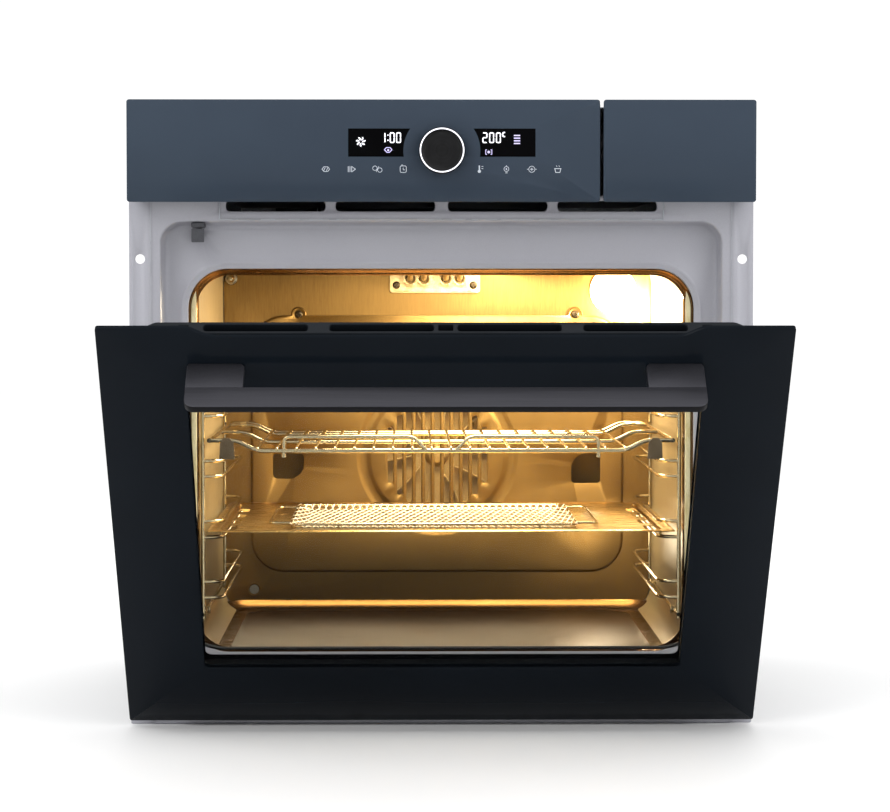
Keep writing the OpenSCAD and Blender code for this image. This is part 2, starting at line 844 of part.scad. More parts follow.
module door_top_trim() {
    z0 = door_z0 + inner_top_h;
    z1 = door_z0 + 471.5;
    d0 = glass + frit;
    color([0.13, 0.13, 0.14]) place_door() difference() {
        translate([0, 0, z0]) linear_extrude(z1 - z0) polygon([
            [-door_in_x, d0], [door_in_x, d0], [door_in_x, 14], [door_in_x - 8, 19.5],
            [-door_in_x + 8, 19.5], [-door_in_x, 14]
        ]);
        for (s = [-1, 1]) {
            for (x = [54.5, 162]) slab(s * x - 44.5, s * x + 44.5, 7.5, 16, 2, z0 - 1, z1 + 1);
            block(s * 223.5 - 4.5, s * 223.5 + 4.5, 8, 15, z1 - 6, z1 + 1);
        }
        block(-6.4, 6.4, 8, 16, z1 - 8, z1 + 1);
    }
}

module handle_bar() {
    z1 = door_z0 + handle_h;
    inner = -handle_out + handle_bar_w;
    color([0.25, 0.25, 0.27]) place_door() union() {
        block(-handle_x, handle_x, -handle_out + 9, inner, z1 - handle_t, z1);
        block(-handle_x + 9, handle_x - 9, -handle_out, -handle_out + 9, z1 - handle_t, z1);
        for (s = [-1, 1]) translate([s * (handle_x - 9), -handle_out + 9, z1 - handle_t])
            cylinder(r = 9, h = handle_t);
    }
}

module handle_brackets() {
    z1 = door_z0 + handle_h;
    inner = -handle_out + handle_bar_w;
    color([0.22, 0.22, 0.24]) place_door() both_sides() {
        block(handle_x - bracket_w, handle_x, inner, 0, z1 - handle_t, z1);
        block(handle_x - bracket_w + 4, handle_x - 4, -12, 0, z1 - 18, z1 - handle_t);
    }
}

base_pan();
side_panel_left();
side_panel_right();
top_cover();
rear_panel();
front_frame();
cavity_wrap();
cavity_rear_wall();
insulation_blanket();
fan_cover();
cavity_screws();
convection_motor();
convection_fan();
ring_heater();
grill_element();
bottom_heater();
lamp_housing();
lamp_bulb();
lamp_glass();
side_rack_left();
side_rack_right();
hinge_receivers();
hinge_arm_left();
hinge_arm_right();
hinge_springs();
cooling_fan_housing();
cooling_motor();
cooling_rotor();
air_duct();
temperature_probe();
terminal_block();
control_glass();
control_carrier();
control_board();
display_modules();
light_ring();
knob_stem();
knob();
door_switch_housing();
door_switch_lever();
steam_boiler();
water_pump();
water_hoses();
tank_housing();
water_tank();
tank_lid();
tank_front();
wire_rack();
perforated_tray();
mesh_basket();
door_glass_outer();
door_frit();
door_glass_middle();
door_glass_inner();
door_gasket();
door_frame();
door_top_trim();
handle_bar();
handle_brackets();
hinge_channels();
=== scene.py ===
import json
import math

import bmesh
import bpy
import numpy as np
from mathutils import Matrix, Vector
from mathutils.geometry import delaunay_2d_cdt


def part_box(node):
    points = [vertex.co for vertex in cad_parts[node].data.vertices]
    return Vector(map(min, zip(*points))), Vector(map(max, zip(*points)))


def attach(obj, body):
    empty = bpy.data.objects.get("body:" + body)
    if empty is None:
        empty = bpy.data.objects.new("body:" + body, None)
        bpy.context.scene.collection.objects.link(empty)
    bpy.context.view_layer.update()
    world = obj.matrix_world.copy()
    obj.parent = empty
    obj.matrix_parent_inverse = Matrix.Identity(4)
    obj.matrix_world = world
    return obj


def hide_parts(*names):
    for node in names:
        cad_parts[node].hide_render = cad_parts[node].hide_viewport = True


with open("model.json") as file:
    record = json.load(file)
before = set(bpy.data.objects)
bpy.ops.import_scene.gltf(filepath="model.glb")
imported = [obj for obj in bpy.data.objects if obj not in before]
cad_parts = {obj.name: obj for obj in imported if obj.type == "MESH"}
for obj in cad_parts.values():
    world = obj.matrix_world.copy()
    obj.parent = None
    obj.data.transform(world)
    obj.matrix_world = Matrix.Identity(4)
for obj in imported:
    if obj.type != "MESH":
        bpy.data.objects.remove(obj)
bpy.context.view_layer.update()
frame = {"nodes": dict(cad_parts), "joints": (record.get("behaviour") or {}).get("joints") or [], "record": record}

# Shapes are drawn in millimetres as (x, d, z): x to the right, d the depth behind the front glass, z up.
MM = 0.001
FACE_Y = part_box("control_glass")[0].y
HINGE = next(j for j in frame["joints"] if j["name"] == "door_hinge")
PIVOT = Vector(HINGE["pos_m"])
OPEN_DOOR = (Matrix.Translation(PIVOT)
             @ Matrix.Rotation(math.radians(-HINGE["range_deg"][0]), 4, "X")
             @ Matrix.Translation(-PIVOT))

HALF_W = 297.5
FASCIA_Z = (498.5, 595.0)
CASE_X = 278.0
CASE_D = (22.2, 568.0)
CASE_TOP = 588.0
FAN_Z = 234.0
KNOB_Z = 546.7
LAMP = (193.0, 414.0)
BACK_D = 430.0
DOOR_Z = 9.0
DOOR_TOP = 489.0
HINGE_X = 241.0


# ---- Outlines: lists of (u, v) points, anticlockwise ----

def circle(u, v, radius, count=48, start=0.0):
    step = 2 * math.pi / count
    return [(u + radius * math.cos(start + i * step), v + radius * math.sin(start + i * step))
            for i in range(count)]


def rounded(u0, u1, v0, v1, radius, steps=6):
    """A rectangle with an arc at each corner; radius may be one number or one for each corner."""
    radii = radius if isinstance(radius, (tuple, list)) else (radius,) * 4
    corners = ((u1, v1, -1, -1, 0), (u0, v1, 1, -1, 90), (u0, v0, 1, 1, 180), (u1, v0, -1, 1, 270))
    points = []
    for (u, v, su, sv, start), r in zip(corners, radii):
        for i in range(steps + 1):
            a = math.radians(start + 90 * i / steps)
            points.append((u + su * r + r * math.cos(a), v + sv * r + r * math.sin(a)))
    return points


def nested(area, insets, steps=6, least=1):
    """Copies of a rounded rectangle (u0, u1, v0, v1, radius), each moved inwards."""
    u0, u1, v0, v1, radius = area
    return [rounded(u0 + s, u1 - s, v0 + s, v1 - s, max(radius - s, least), steps) for s in insets]


def inset(points, distance):
    """The outline moved inwards by a distance, or outwards if it is negative."""
    count = len(points)
    moved = []
    for i in range(count):
        a, b, c = Vector(points[i - 1]), Vector(points[i]), Vector(points[(i + 1) % count])
        before, after = b - a, c - b
        if before.length < 1e-6:
            before = after
        if after.length < 1e-6:
            after = before
        n0 = Vector((-before.y, before.x)).normalized()
        n1 = Vector((-after.y, after.x)).normalized()
        n = n0 + n1
        n = n.normalized() if n.length > 1e-6 else n0
        scale = distance / max(0.5, n.dot(n0))
        moved.append((b.x + n.x * scale, b.y + n.y * scale))
    return moved


def cross(size, arm):
    s, a = size, arm
    return [(s, -a), (s, a), (a, a), (a, s), (-a, s), (-a, a), (-s, a), (-s, -a), (-a, -a), (-a, -s),
            (a, -s), (a, -a)]


def is_inside(points, outline):
    """Which of the points, an array of (u, v), lie within the outline."""
    u, v = points[:, 0], points[:, 1]
    found = np.zeros(len(points), bool)
    for (u0, v0), (u1, v1) in zip(outline, outline[1:] + outline[:1]):
        if v0 != v1:
            found ^= ((v0 > v) != (v1 > v)) & (u < (u1 - u0) * (v - v0) / (v1 - v0) + u0)
    return found


def fillet(points, radius, steps=4, closed=False):
    """Rounds the corners of a path in space."""
    path = [Vector(p) for p in points]
    count = len(path)
    result = []
    for i in range(count):
        if not closed and i in (0, count - 1):
            result.append(path[i])
            continue
        a, b, c = path[i - 1], path[i], path[(i + 1) % count]
        reach = min(radius, 0.45 * (a - b).length, 0.45 * (c - b).length)
        p, q = b + (a - b).normalized() * reach, b + (c - b).normalized() * reach
        for k in range(steps + 1):
            t = k / steps
            result.append(p * (1 - t) ** 2 + b * (2 * t * (1 - t)) + q * t ** 2)
    return result


def ease(t):
    t = min(1.0, max(0.0, t))
    return t * t * (3 - 2 * t)


def edge_distance(u, v, u0, u1, v0, v1, radius):
    """How far a point lies inside a rounded rectangle; negative outside."""
    cu, cv = (u0 + u1) / 2, (v0 + v1) / 2
    du = abs(u - cu) - ((u1 - u0) / 2 - radius)
    dv = abs(v - cv) - ((v1 - v0) / 2 - radius)
    return radius - math.hypot(max(du, 0), max(dv, 0)) - min(max(du, dv), 0)


# ---- Solids ----

PLANES = {
    "xz": lambda u, v, w: (u, w, v),
    "xd": lambda u, v, w: (u, v, w),
    "dz": lambda u, v, w: (w, u, v),
}


def flat_faces(rims, rings, spots, regions, mat):
    """Fills the first rim, less the other rims, with faces along every ring and through the spots.

    Returns the points, whether each is on a rim, the faces and their material numbers.
    """
    points, edges = [], []
    for ring in rings:
        start, count = len(points), len(ring)
        points += ring
        edges += [(start + i, start + (i + 1) % count) for i in range(count)]
    rim_count = sum(len(r) for r in rims)
    points += list(spots)
    result = delaunay_2d_cdt([Vector(p) for p in points], edges, [], 0, 1e-4)
    flat, faces, origin = result[0], result[2], result[3]
    uv = np.array([(p.x, p.y) for p in flat])
    middle = np.array([uv[list(f)].mean(0) for f in faces])
    keep = is_inside(middle, rims[0])
    for hole in rims[1:]:
        keep &= ~is_inside(middle, hole)
    number = np.full(len(faces), mat)
    for ring, region_mat in regions:
        number[is_inside(middle, list(ring))] = region_mat
    on_rim = [any(o < rim_count for o in source) for source in origin]
    kept = [tuple(f) for f, k in zip(faces, keep) if k]
    return uv, on_rim, kept, [int(m) for m, k in zip(number, keep) if k]


class Shape:
    """Collects vertices, faces and material numbers, then makes one mesh object of them."""

    def __init__(self):
        self.verts = []
        self.faces = []
        self.mats = []

    def add(self, verts, faces, mat=0):
        base = len(self.verts)
        self.verts += [tuple(v) for v in verts]
        self.faces += [tuple(base + i for i in face) for face in faces]
        self.mats += [mat] * len(faces)
        return self

    def take(self, other, matrix=None, mat=None):
        """Adds another shape's mesh, moved by a matrix."""
        verts = other.verts if matrix is None else [matrix @ Vector(v) for v in other.verts]
        base = len(self.verts)
        self.verts += [tuple(v) for v in verts]
        self.faces += [tuple(base + i for i in face) for face in other.faces]
        self.mats += other.mats if mat is None else [mat] * len(other.faces)
        return self

    def loft(self, rings, mat=0, caps=False):
        """Joins closed rings of equal length."""
        count = len(rings[0])
        faces = []
        for i in range(len(rings) - 1):
            for j in range(count):
                a, b = i * count + j, i * count + (j + 1) % count
                faces.append((a, b, b + count, a + count))
        if caps:
            last = (len(rings) - 1) * count
            faces.append(tuple(range(count - 1, -1, -1)))
            faces.append(tuple(range(last, last + count)))
        return self.add([p for ring in rings for p in ring], faces, mat)

    def lathe(self, profile, centre, axis="d", sides=48, mat=0):
        """Turns a profile of (radius, distance along the axis) about a centre."""
        rings = []
        for radius, along in profile:
            ring = []
            for p, q in circle(0, 0, max(radius, 1e-4), sides):
                offset = {"d": (p, along, q), "x": (along, p, q), "z": (p, q, along)}[axis]
                ring.append(tuple(c + o for c, o in zip(centre, offset)))
            rings.append(ring)
        return self.loft(rings, mat)

    def rod(self, centre, radius, start, end, axis="d", sides=32, edge=0.4, mat=0):
        """A round bar with softened ends."""
        e = min(edge, radius * 0.5, abs(end - start) * 0.4)
        s = e if end > start else -e
        profile = [(0, start), (radius - e, start), (radius - e * 0.3, start + s * 0.3),
                   (radius, start + s), (radius, end - s), (radius - e * 0.3, end - s * 0.3),
                   (radius - e, end), (0, end)]
        return self.lathe(profile, centre, axis, sides, mat)

    def tube(self, path, radius, sides=10, closed=False, mat=0):
        """A wire along a path, its section carried along without twist."""
        points = [Vector(p) for p in path]
        count = len(points)
        normal = None
        rings = []
        for i, p in enumerate(points):
            ahead = points[(i + 1) % count] if closed or i < count - 1 else p
            behind = points[i - 1] if closed or i > 0 else p
            along = (ahead - behind).normalized()
            if normal is None:
                normal = along.orthogonal().normalized()
            normal = (normal - along * normal.dot(along)).normalized()
            side = along.cross(normal)
            rings.append([p + normal * (radius * c) + side * (radius * s)
                          for c, s in circle(0, 0, 1.0, sides)])
        if not closed:
            return self.loft(rings, mat, caps=True)
        shift = min(range(sides), key=lambda k: (rings[-1][k] - rings[0][0]).length)
        first = [rings[0][(k - shift) % sides] for k in range(sides)]
        return self.loft(rings + [first], mat)

    def block(self, x0, x1, d0, d1, z0, z1, edge=0.6, steps=2, mat=0):
        """A box with rounded edges."""
        bm = bmesh.new()
        bmesh.ops.create_cube(bm, size=1.0)
        for v in bm.verts:
            v.co = Vector(((x0 + x1) / 2 + v.co.x * (x1 - x0), (d0 + d1) / 2 + v.co.y * (d1 - d0),
                           (z0 + z1) / 2 + v.co.z * (z1 - z0)))
        limit = 0.45 * min(x1 - x0, d1 - d0, z1 - z0)
        bmesh.ops.bevel(bm, geom=bm.edges[:], offset=min(edge, limit), segments=steps, profile=0.5,
                        affect="EDGES")
        return self.add_bmesh(bm, mat)

    def prism(self, outline, plane, w0, w1, edge=0.5, steps=2, mat=0):
        """An extruded outline with rounded rims."""
        put = PLANES[plane]
        bm = bmesh.new()
        low = [bm.verts.new(put(u, v, w0)) for u, v in outline]
        high = [bm.verts.new(put(u, v, w1)) for u, v in outline]
        bm.faces.new(low)
        bm.faces.new(high[::-1])
        count = len(outline)
        for i in range(count):
            j = (i + 1) % count
            bm.faces.new((low[i], high[i], high[j], low[j]))
        bmesh.ops.recalc_face_normals(bm, faces=bm.faces[:])
        if edge:
            ends = [e for e in bm.edges if (e.verts[0] in low) == (e.verts[1] in low)]
            bmesh.ops.bevel(bm, geom=ends, offset=edge, segments=steps, profile=0.5, affect="EDGES")
        return self.add_bmesh(bm, mat)

    def add_bmesh(self, bm, mat=0):
        bm.verts.ensure_lookup_table()
        bm.verts.index_update()
        self.add([v.co.copy() for v in bm.verts], [[v.index for v in f.verts] for f in bm.faces], mat)
        bm.free()
        return self

    def sheet(self, outline, holes=(), loops=(), spots=(), lift=None, base=0.0, thick=1.0,
              plane="xz", edge=0.0, regions=(), mat=0):
        """A sheet with holes, pressed into shape.

        lift(u, v) gives the front surface's height over base, the back lies thick behind it, and edge
        rounds the front rim of the outline and the holes. regions are (outline, material) pairs.
        """
        rims = [list(outline)] + [list(h) for h in holes]
        rings = rims + [list(loop) for loop in loops] + [list(r) for r, _ in regions]
        if edge:
            rings[len(rims):len(rims)] = [inset(rims[0], edge)] + [inset(h, -edge) for h in rims[1:]]
        uv, on_rim, kept, numbers = flat_faces(rims, rings, spots, regions, mat)
        sink = math.copysign(edge, thick) if edge else 0.0
        front = [(u, v, base + (lift(u, v) if lift else 0.0) + (sink if rim else 0.0))
                 for (u, v), rim in zip(uv, on_rim)]
        rear = [(u, v, w + thick - (sink if rim else 0.0)) for (u, v, w), rim in zip(front, on_rim)]
        start, count = len(self.verts), len(front)
        self.verts += [PLANES[plane](*p) for p in front + rear]
        for f, m in zip(kept, numbers):
            self.faces.append(tuple(start + i for i in f))
            self.faces.append(tuple(start + count + i for i in reversed(f)))
            self.mats += [m, m]
        sides = dict.fromkeys(pair for f in kept for pair in zip(f, f[1:] + f[:1]))
        for a, b in sides:
            if (b, a) not in sides:
                self.faces.append((start + b, start + a, start + count + a, start + count + b))
                self.mats.append(mat)
        return self

    def piece(self, name, materials, body, replaces="", sharp=35.0):
        """Makes the mesh object, in metres and in place, riding on a body. replaces names CAD nodes."""
        bm = bmesh.new()
        corners = [bm.verts.new((x * MM, FACE_Y + d * MM, z * MM)) for x, d, z in self.verts]
        for face, mat in zip(self.faces, self.mats):
            if len(set(face)) > 2:
                try:
                    bm.faces.new([corners[i] for i in face]).material_index = mat
                except ValueError:
                    pass
        bmesh.ops.remove_doubles(bm, verts=bm.verts[:], dist=2e-6)
        loose = [v for v in bm.verts if not v.link_faces]
        bmesh.ops.delete(bm, geom=loose, context="VERTS")
        bmesh.ops.dissolve_degenerate(bm, edges=bm.edges[:], dist=1e-7)
        bmesh.ops.recalc_face_normals(bm, faces=bm.faces[:])
        if body == "door":
            bm.transform(OPEN_DOOR)
        finish_mesh(bm, name, materials, body, replaces, sharp)


def mesh_object(bm, name, materials, sharp=35.0):
    """Turns a bmesh into an object with smooth faces between its sharp edges."""
    mesh = bpy.data.meshes.new(name)
    bm.to_mesh(mesh)
    bm.free()
    for material in materials if isinstance(materials, (list, tuple)) else [materials]:
        mesh.materials.append(material)
    mesh.polygons.foreach_set("use_smooth", [True] * len(mesh.polygons))
    mesh.set_sharp_from_angle(angle=math.radians(sharp))
    mesh.update()
    obj = bpy.data.objects.new(name, mesh)
    bpy.context.scene.collection.objects.link(obj)
    return obj


def finish_mesh(bm, name, materials, body, replaces, sharp):
    obj = mesh_object(bm, name, materials, sharp)
    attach(obj, body)
    nodes = replaces.split()
    if nodes:
        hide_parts(*nodes)


def body_of(node):
    return next(b for b, nodes in frame["record"]["behaviour"]["bodies"].items() if node in nodes)


def softened(node, material, edge):
    """A copy of a CAD node with its flat faces merged and its sharp edges rounded."""
    bm = bmesh.new()
    bm.from_mesh(frame["nodes"][node].data)
    bmesh.ops.remove_doubles(bm, verts=bm.verts[:], dist=2e-6)
    bmesh.ops.dissolve_limit(bm, angle_limit=math.radians(0.6), verts=bm.verts[:], edges=bm.edges[:])
    hard = [e for e in bm.edges if len(e.link_faces) == 2 and e.calc_face_angle(0) > math.radians(40)]
    bmesh.ops.bevel(bm, geom=hard, offset=edge * MM, segments=2, profile=0.5, affect="EDGES",
                    clamp_overlap=True)
    bmesh.ops.triangulate(bm, faces=[f for f in bm.faces if len(f.verts) > 4])
    finish_mesh(bm, node + "_part", material, body_of(node), node, 35.0)


def turned(normal, at):
    """Moves a shape that faces -d to face along a normal, at a point."""
    n = Vector(normal).normalized()
    return Matrix.Translation(Vector(at)) @ Vector((0, -1, 0)).rotation_difference(n).to_matrix().to_4x4()


def screw_head(radius=4.0, height=1.6, recess=0.55):
    """A pan head with a cross recess, facing -d from the origin."""
    slot = cross(radius * recess, radius * 0.14)
    floor = inset(slot, radius * 0.05)
    rings = [circle(0, 0, radius * f, 28) for f in (0.97, 0.9, 0.78, 0.62)]

    def lift(u, v):
        r = math.hypot(u, v) / radius
        dome = height * (1 - r ** 4) ** 0.5 if r < 1 else 0.0
        inside = max(abs(u), abs(v)) <= radius * recess * 0.97 and min(abs(u), abs(v)) <= radius * 0.1
        return -dome + (height * 0.7 if inside else 0.0)

    head = Shape()
    head.sheet(circle(0, 0, radius, 28), loops=rings + [slot, floor], lift=lift, thick=0.4)
    return head


# ---- Materials ----

def srgb(code):
    """A linear colour from a hexadecimal screen colour."""
    values = [int(code[i:i + 2], 16) / 255 for i in (0, 2, 4)]
    return tuple(v / 12.92 if v <= 0.04045 else ((v + 0.055) / 1.055) ** 2.4 for v in values) + (1.0,)


class Look:
    """A node material: a Principled shader and the textures that feed it."""

    def __init__(self, name, metallic=0.0, rough=0.5, **sockets):
        self.material = bpy.data.materials.new(name)
        self.material.use_nodes = True
        self.tree = self.material.node_tree
        self.shader = self.tree.nodes["Principled BSDF"]
        self.set(self.shader, Metallic=metallic, Roughness=rough, **sockets)
        self.where = self.node("ShaderNodeTexCoord").outputs["Object"]

    def set(self, node, **values):
        for key, value in values.items():
            name = key.replace("_", " ")
            if name in node.inputs:
                socket = node.inputs[name]
                if isinstance(value, bpy.types.NodeSocket):
                    self.tree.links.new(value, socket)
                else:
                    socket.default_value = value
            else:
                setattr(node, key, value)
        return node

    def node(self, kind, **values):
        return self.set(self.tree.nodes.new(kind), **values)

    def stretched(self, scale):
        mapping = self.node("ShaderNodeMapping", Vector=self.where)
        mapping.inputs["Scale"].default_value = scale
        return mapping.outputs["Vector"]

    def noise(self, scale, detail=3.0, stretch=None, rough=0.55):
        vector = self.stretched(stretch) if stretch else self.where
        return self.node("ShaderNodeTexNoise", Vector=vector, Scale=scale, Detail=detail,
                         Roughness=rough).outputs["Fac"]

    def cells(self, scale, feature="F1", output="Distance", stretch=None):
        vector = self.stretched(stretch) if stretch else self.where
        node = self.node("ShaderNodeTexVoronoi", Vector=vector, feature=feature, Scale=scale)
        return node.outputs[output]

    def ramp(self, value, *stops):
        node = self.node("ShaderNodeValToRGB", Fac=value)
        elements = node.color_ramp.elements
        while len(elements) < len(stops):
            elements.new(0.5)
        for element, (place, colour) in zip(elements, stops):
            element.position = place
            element.color = colour if isinstance(colour, tuple) else (colour, colour, colour, 1)
        return node.outputs["Color"]

    def span(self, value, low, high, start=0.3, end=0.7):
        """Maps a texture's middle range to a range of numbers."""
        node = self.node("ShaderNodeMapRange", Value=value)
        for name, number in (("From Min", start), ("From Max", end), ("To Min", low), ("To Max", high)):
            node.inputs[name].default_value = number
        return node.outputs["Result"]

    def mix(self, factor, a, b, mode="MIX"):
        node = self.tree.nodes.new("ShaderNodeMix")
        node.data_type = "RGBA"
        node.blend_type = mode
        for socket, value in ((node.inputs[0], factor), (node.inputs[6], a), (node.inputs[7], b)):
            if isinstance(value, bpy.types.NodeSocket):
                self.tree.links.new(value, socket)
            else:
                socket.default_value = value
        return node.outputs[2]

    def bump(self, height, strength=0.2, distance=0.0005, after=None):
        node = self.node("ShaderNodeBump", Height=height, Strength=strength, Distance=distance)
        if after:
            self.tree.links.new(after, node.inputs["Normal"])
        return node.outputs["Normal"]

    def finish(self, colour=None, rough=None, normal=None):
        if colour is not None:
            self.set(self.shader, Base_Color=colour)
        if rough is not None:
            self.set(self.shader, Roughness=rough)
        if normal is not None:
            self.set(self.shader, Normal=normal)
        return self.material


def mottled(name, dark, light, scale, rough, metallic=0.0, grain=900.0, bump=0.12, stretch=None,
            **sockets):
    """A finish with soft colour variation, uneven gloss and a fine surface grain."""
    look = Look(name, metallic=metallic, **sockets)
    soft = look.noise(scale, 4.0)
    fine = look.noise(grain, 2.0, stretch)
    tone = look.mix(look.span(fine, 0.0, 1.0), srgb(dark), srgb(light))
    colour = look.mix(look.span(soft, 0.0, 0.5), tone, srgb(light))
    gloss = look.span(look.noise(scale * 2.3, 3.0), rough[0], rough[1])
    return look.finish(colour, gloss, look.bump(fine, bump, 0.0002))


def brushed(name, dark, light, stretch, rough, metallic=1.0, bump=0.1, anisotropic=0.4, **sockets):
    """Metal with fine lines along one direction, over a slow change of tone."""
    look = Look(name, metallic=metallic, Anisotropic=anisotropic, **sockets)
    lines = look.noise(1.0, 4.0, stretch, 0.7)
    cloud = look.noise(9.0, 3.0)
    tone = look.mix(look.span(lines, 0.0, 1.0), srgb(dark), srgb(light))
    colour = look.mix(look.span(cloud, 0.0, 0.35), tone, srgb(light))
    gloss = look.span(lines, rough[0], rough[1])
    return look.finish(colour, gloss, look.bump(lines, bump, 0.0001))


def painted_glass(name, dark, light, rough=(0.05, 0.09), ior=1.3):
    """Glass printed on its rear: an even colour under a glossy skin with the faintest unevenness."""
    look = Look(name, IOR=ior)
    cloud = look.noise(5.0, 3.0)
    speck = look.noise(2600.0, 1.0)
    colour = look.mix(look.span(cloud, 0.0, 1.0), srgb(dark), srgb(light))
    colour = look.mix(look.span(speck, 0.0, 0.12, 0.45, 0.75), colour, srgb(light))
    wave = look.noise(3.0, 1.0)
    return look.finish(colour, look.span(look.noise(60.0, 3.0), *rough), look.bump(wave, 0.05, 0.0004))


def clear_pane(name, tint, gloss=0.02):
    """A see-through pane: what is behind it, under a Fresnel reflection."""
    look = Look(name)
    tree = look.tree
    tree.nodes.remove(look.shader)
    clear = look.node("ShaderNodeBsdfTransparent", Color=tint)
    shine = look.node("ShaderNodeBsdfGlossy", Color=(1, 1, 1, 1), Roughness=gloss)
    fresnel = look.node("ShaderNodeFresnel", IOR=1.06)
    blend = look.node("ShaderNodeMixShader")
    tree.links.new(fresnel.outputs[0], blend.inputs[0])
    tree.links.new(clear.outputs[0], blend.inputs[1])
    tree.links.new(shine.outputs[0], blend.inputs[2])
    tree.links.new(blend.outputs[0], tree.nodes["Material Output"].inputs["Surface"])
    return look.material


def glowing(name, colour, strength, base="F4F4F6"):
    look = Look(name, rough=0.4, Emission_Strength=strength, Emission_Color=srgb(colour))
    cloud = look.noise(300.0, 2.0)
    return look.finish(look.mix(look.span(cloud, 0.0, 0.3), srgb(base), srgb(colour)))


def galvanised():
    look = Look("galvanised_steel", metallic=0.9)
    spangle = look.cells(95.0, output="Color")
    grey = look.node("ShaderNodeSeparateColor", Color=spangle).outputs[0]
    grain = look.noise(1400.0, 2.0)
    cloud = look.noise(6.0, 4.0)
    tone = look.ramp(grey, (0.0, srgb("8E9298")), (1.0, srgb("B9BDC3")))
    colour = look.mix(look.span(cloud, 0.1, 0.5), tone, srgb("A6AAB0"))
    rough = look.span(grey, 0.34, 0.5, 0.0, 1.0)
    return look.finish(colour, rough, look.bump(grain, 0.08, 0.0002))


def spun_face():
    """The knob's black face, turned on a lathe."""
    look = Look("knob_face", metallic=0.6, rough=0.3, Anisotropic=0.9)
    offset = look.node("ShaderNodeMapping", Vector=look.where)
    offset.inputs["Location"].default_value = (0, 0, -KNOB_Z * MM)
    length = look.node("ShaderNodeVectorMath", operation="LENGTH")
    look.tree.links.new(offset.outputs[0], length.inputs[0])
    rings = look.node("ShaderNodeTexNoise", noise_dimensions="1D", Scale=9000.0, Detail=2.0)
    look.tree.links.new(length.outputs["Value"], rings.inputs["W"])
    tangent = look.node("ShaderNodeTangent", direction_type="RADIAL", axis="Y")
    look.tree.links.new(tangent.outputs[0], look.shader.inputs["Tangent"])
    colour = look.ramp(rings.outputs["Fac"], (0.3, srgb("030304")), (0.7, srgb("0A0B0E")))
    return look.finish(colour, normal=look.bump(rings.outputs["Fac"], 0.15, 0.0001))


def circuit_board():
    look = Look("circuit_board", rough=0.45)
    traces = look.cells(420.0, "DISTANCE_TO_EDGE")
    lines = look.ramp(traces, (0.0, srgb("2F6E3F")), (0.06, srgb("17452A")))
    specks = look.cells(900.0)
    colour = look.mix(look.span(specks, 1.0, 0.0, 0.05, 0.12), lines, srgb("C9A45A"))
    return look.finish(colour, look.span(look.noise(80.0), 0.3, 0.5), look.bump(traces, 0.3, 0.0001))


def glass_wool():
    look = Look("glass_wool", rough=0.95, Sheen_Weight=0.3)
    fibre = look.noise(1.0, 5.0, (260.0, 260.0, 60.0), 0.7)
    clump = look.noise(35.0, 5.0)
    colour = look.ramp(fibre, (0.3, srgb("B79F5E")), (0.7, srgb("E9DCAE")))
    colour = look.mix(look.span(clump, 0.0, 0.5), colour, srgb("F2EBCB"))
    return look.finish(colour, normal=look.bump(clump, 0.8, 0.003, look.bump(fibre, 0.5, 0.001)))


def lamp_lens():
    look = Look("lamp_lens", rough=0.25, Emission_Color=srgb("FFE2AE"), Emission_Strength=14.0)
    cells = look.cells(380.0)
    colour = look.mix(look.span(cells, 0.0, 0.6, 0.0, 0.6), srgb("FFF4DC"), srgb("F2DDB0"))
    return look.finish(colour, normal=look.bump(cells, 0.3, 0.0004))


SLATE = painted_glass("slate_glass", "363F4B", "3A4450", (0.12, 0.2), 1.14)
NAVY = painted_glass("door_print", "0E1217", "12171D", (0.08, 0.14), 1.12)
PANE = clear_pane("window_glass", (0.985, 0.985, 0.975, 1))
PANE_IN = clear_pane("inner_glass", (0.99, 0.99, 0.985, 1))
DISPLAY = painted_glass("display_window", "020203", "040406", (0.04, 0.06), 1.1)
ENAMEL = mottled("grey_enamel", "9A9AA2", "A4A4AC", 14.0, (0.3, 0.4), grain=1500.0, bump=0.1)
CAVITY = brushed("cavity_steel", "8E7A55", "A08C66", (1200.0, 30.0, 30.0), (0.3, 0.4), 0.3,
                 bump=0.04, anisotropic=0.2)
BACKWALL = brushed("rear_wall_steel", "6A5028", "806434", (900.0, 900.0, 60.0), (0.42, 0.54), 0.8,
                   bump=0.06, anisotropic=0.0)
FAN_STEEL = mottled("fan_cover_steel", "6A5028", "806434", 30.0, (0.4, 0.52), 0.8, 1300.0, 0.1)
# Both floor steels are darkened as painted shade of the dim lower cavity; the pan under the tray is darker still.
FLOOR_STEEL = brushed("cavity_floor_steel", "4A3216", "5E4320", (40.0, 1100.0, 40.0), (0.2, 0.3),
                      0.95, bump=0.04, anisotropic=0.2)
FLOOR_PAN_PAINTED_SHADE = brushed("cavity_floor_pan_painted_shade", "241608", "35230F", (40.0, 1100.0, 40.0), (0.3, 0.4), 0.9,
                    bump=0.04, anisotropic=0.2)
RIM_STEEL = brushed("rim_steel", "3C2814", "5E4224", (60.0, 60.0, 60.0), (0.12, 0.24), 1.0, bump=0.03)
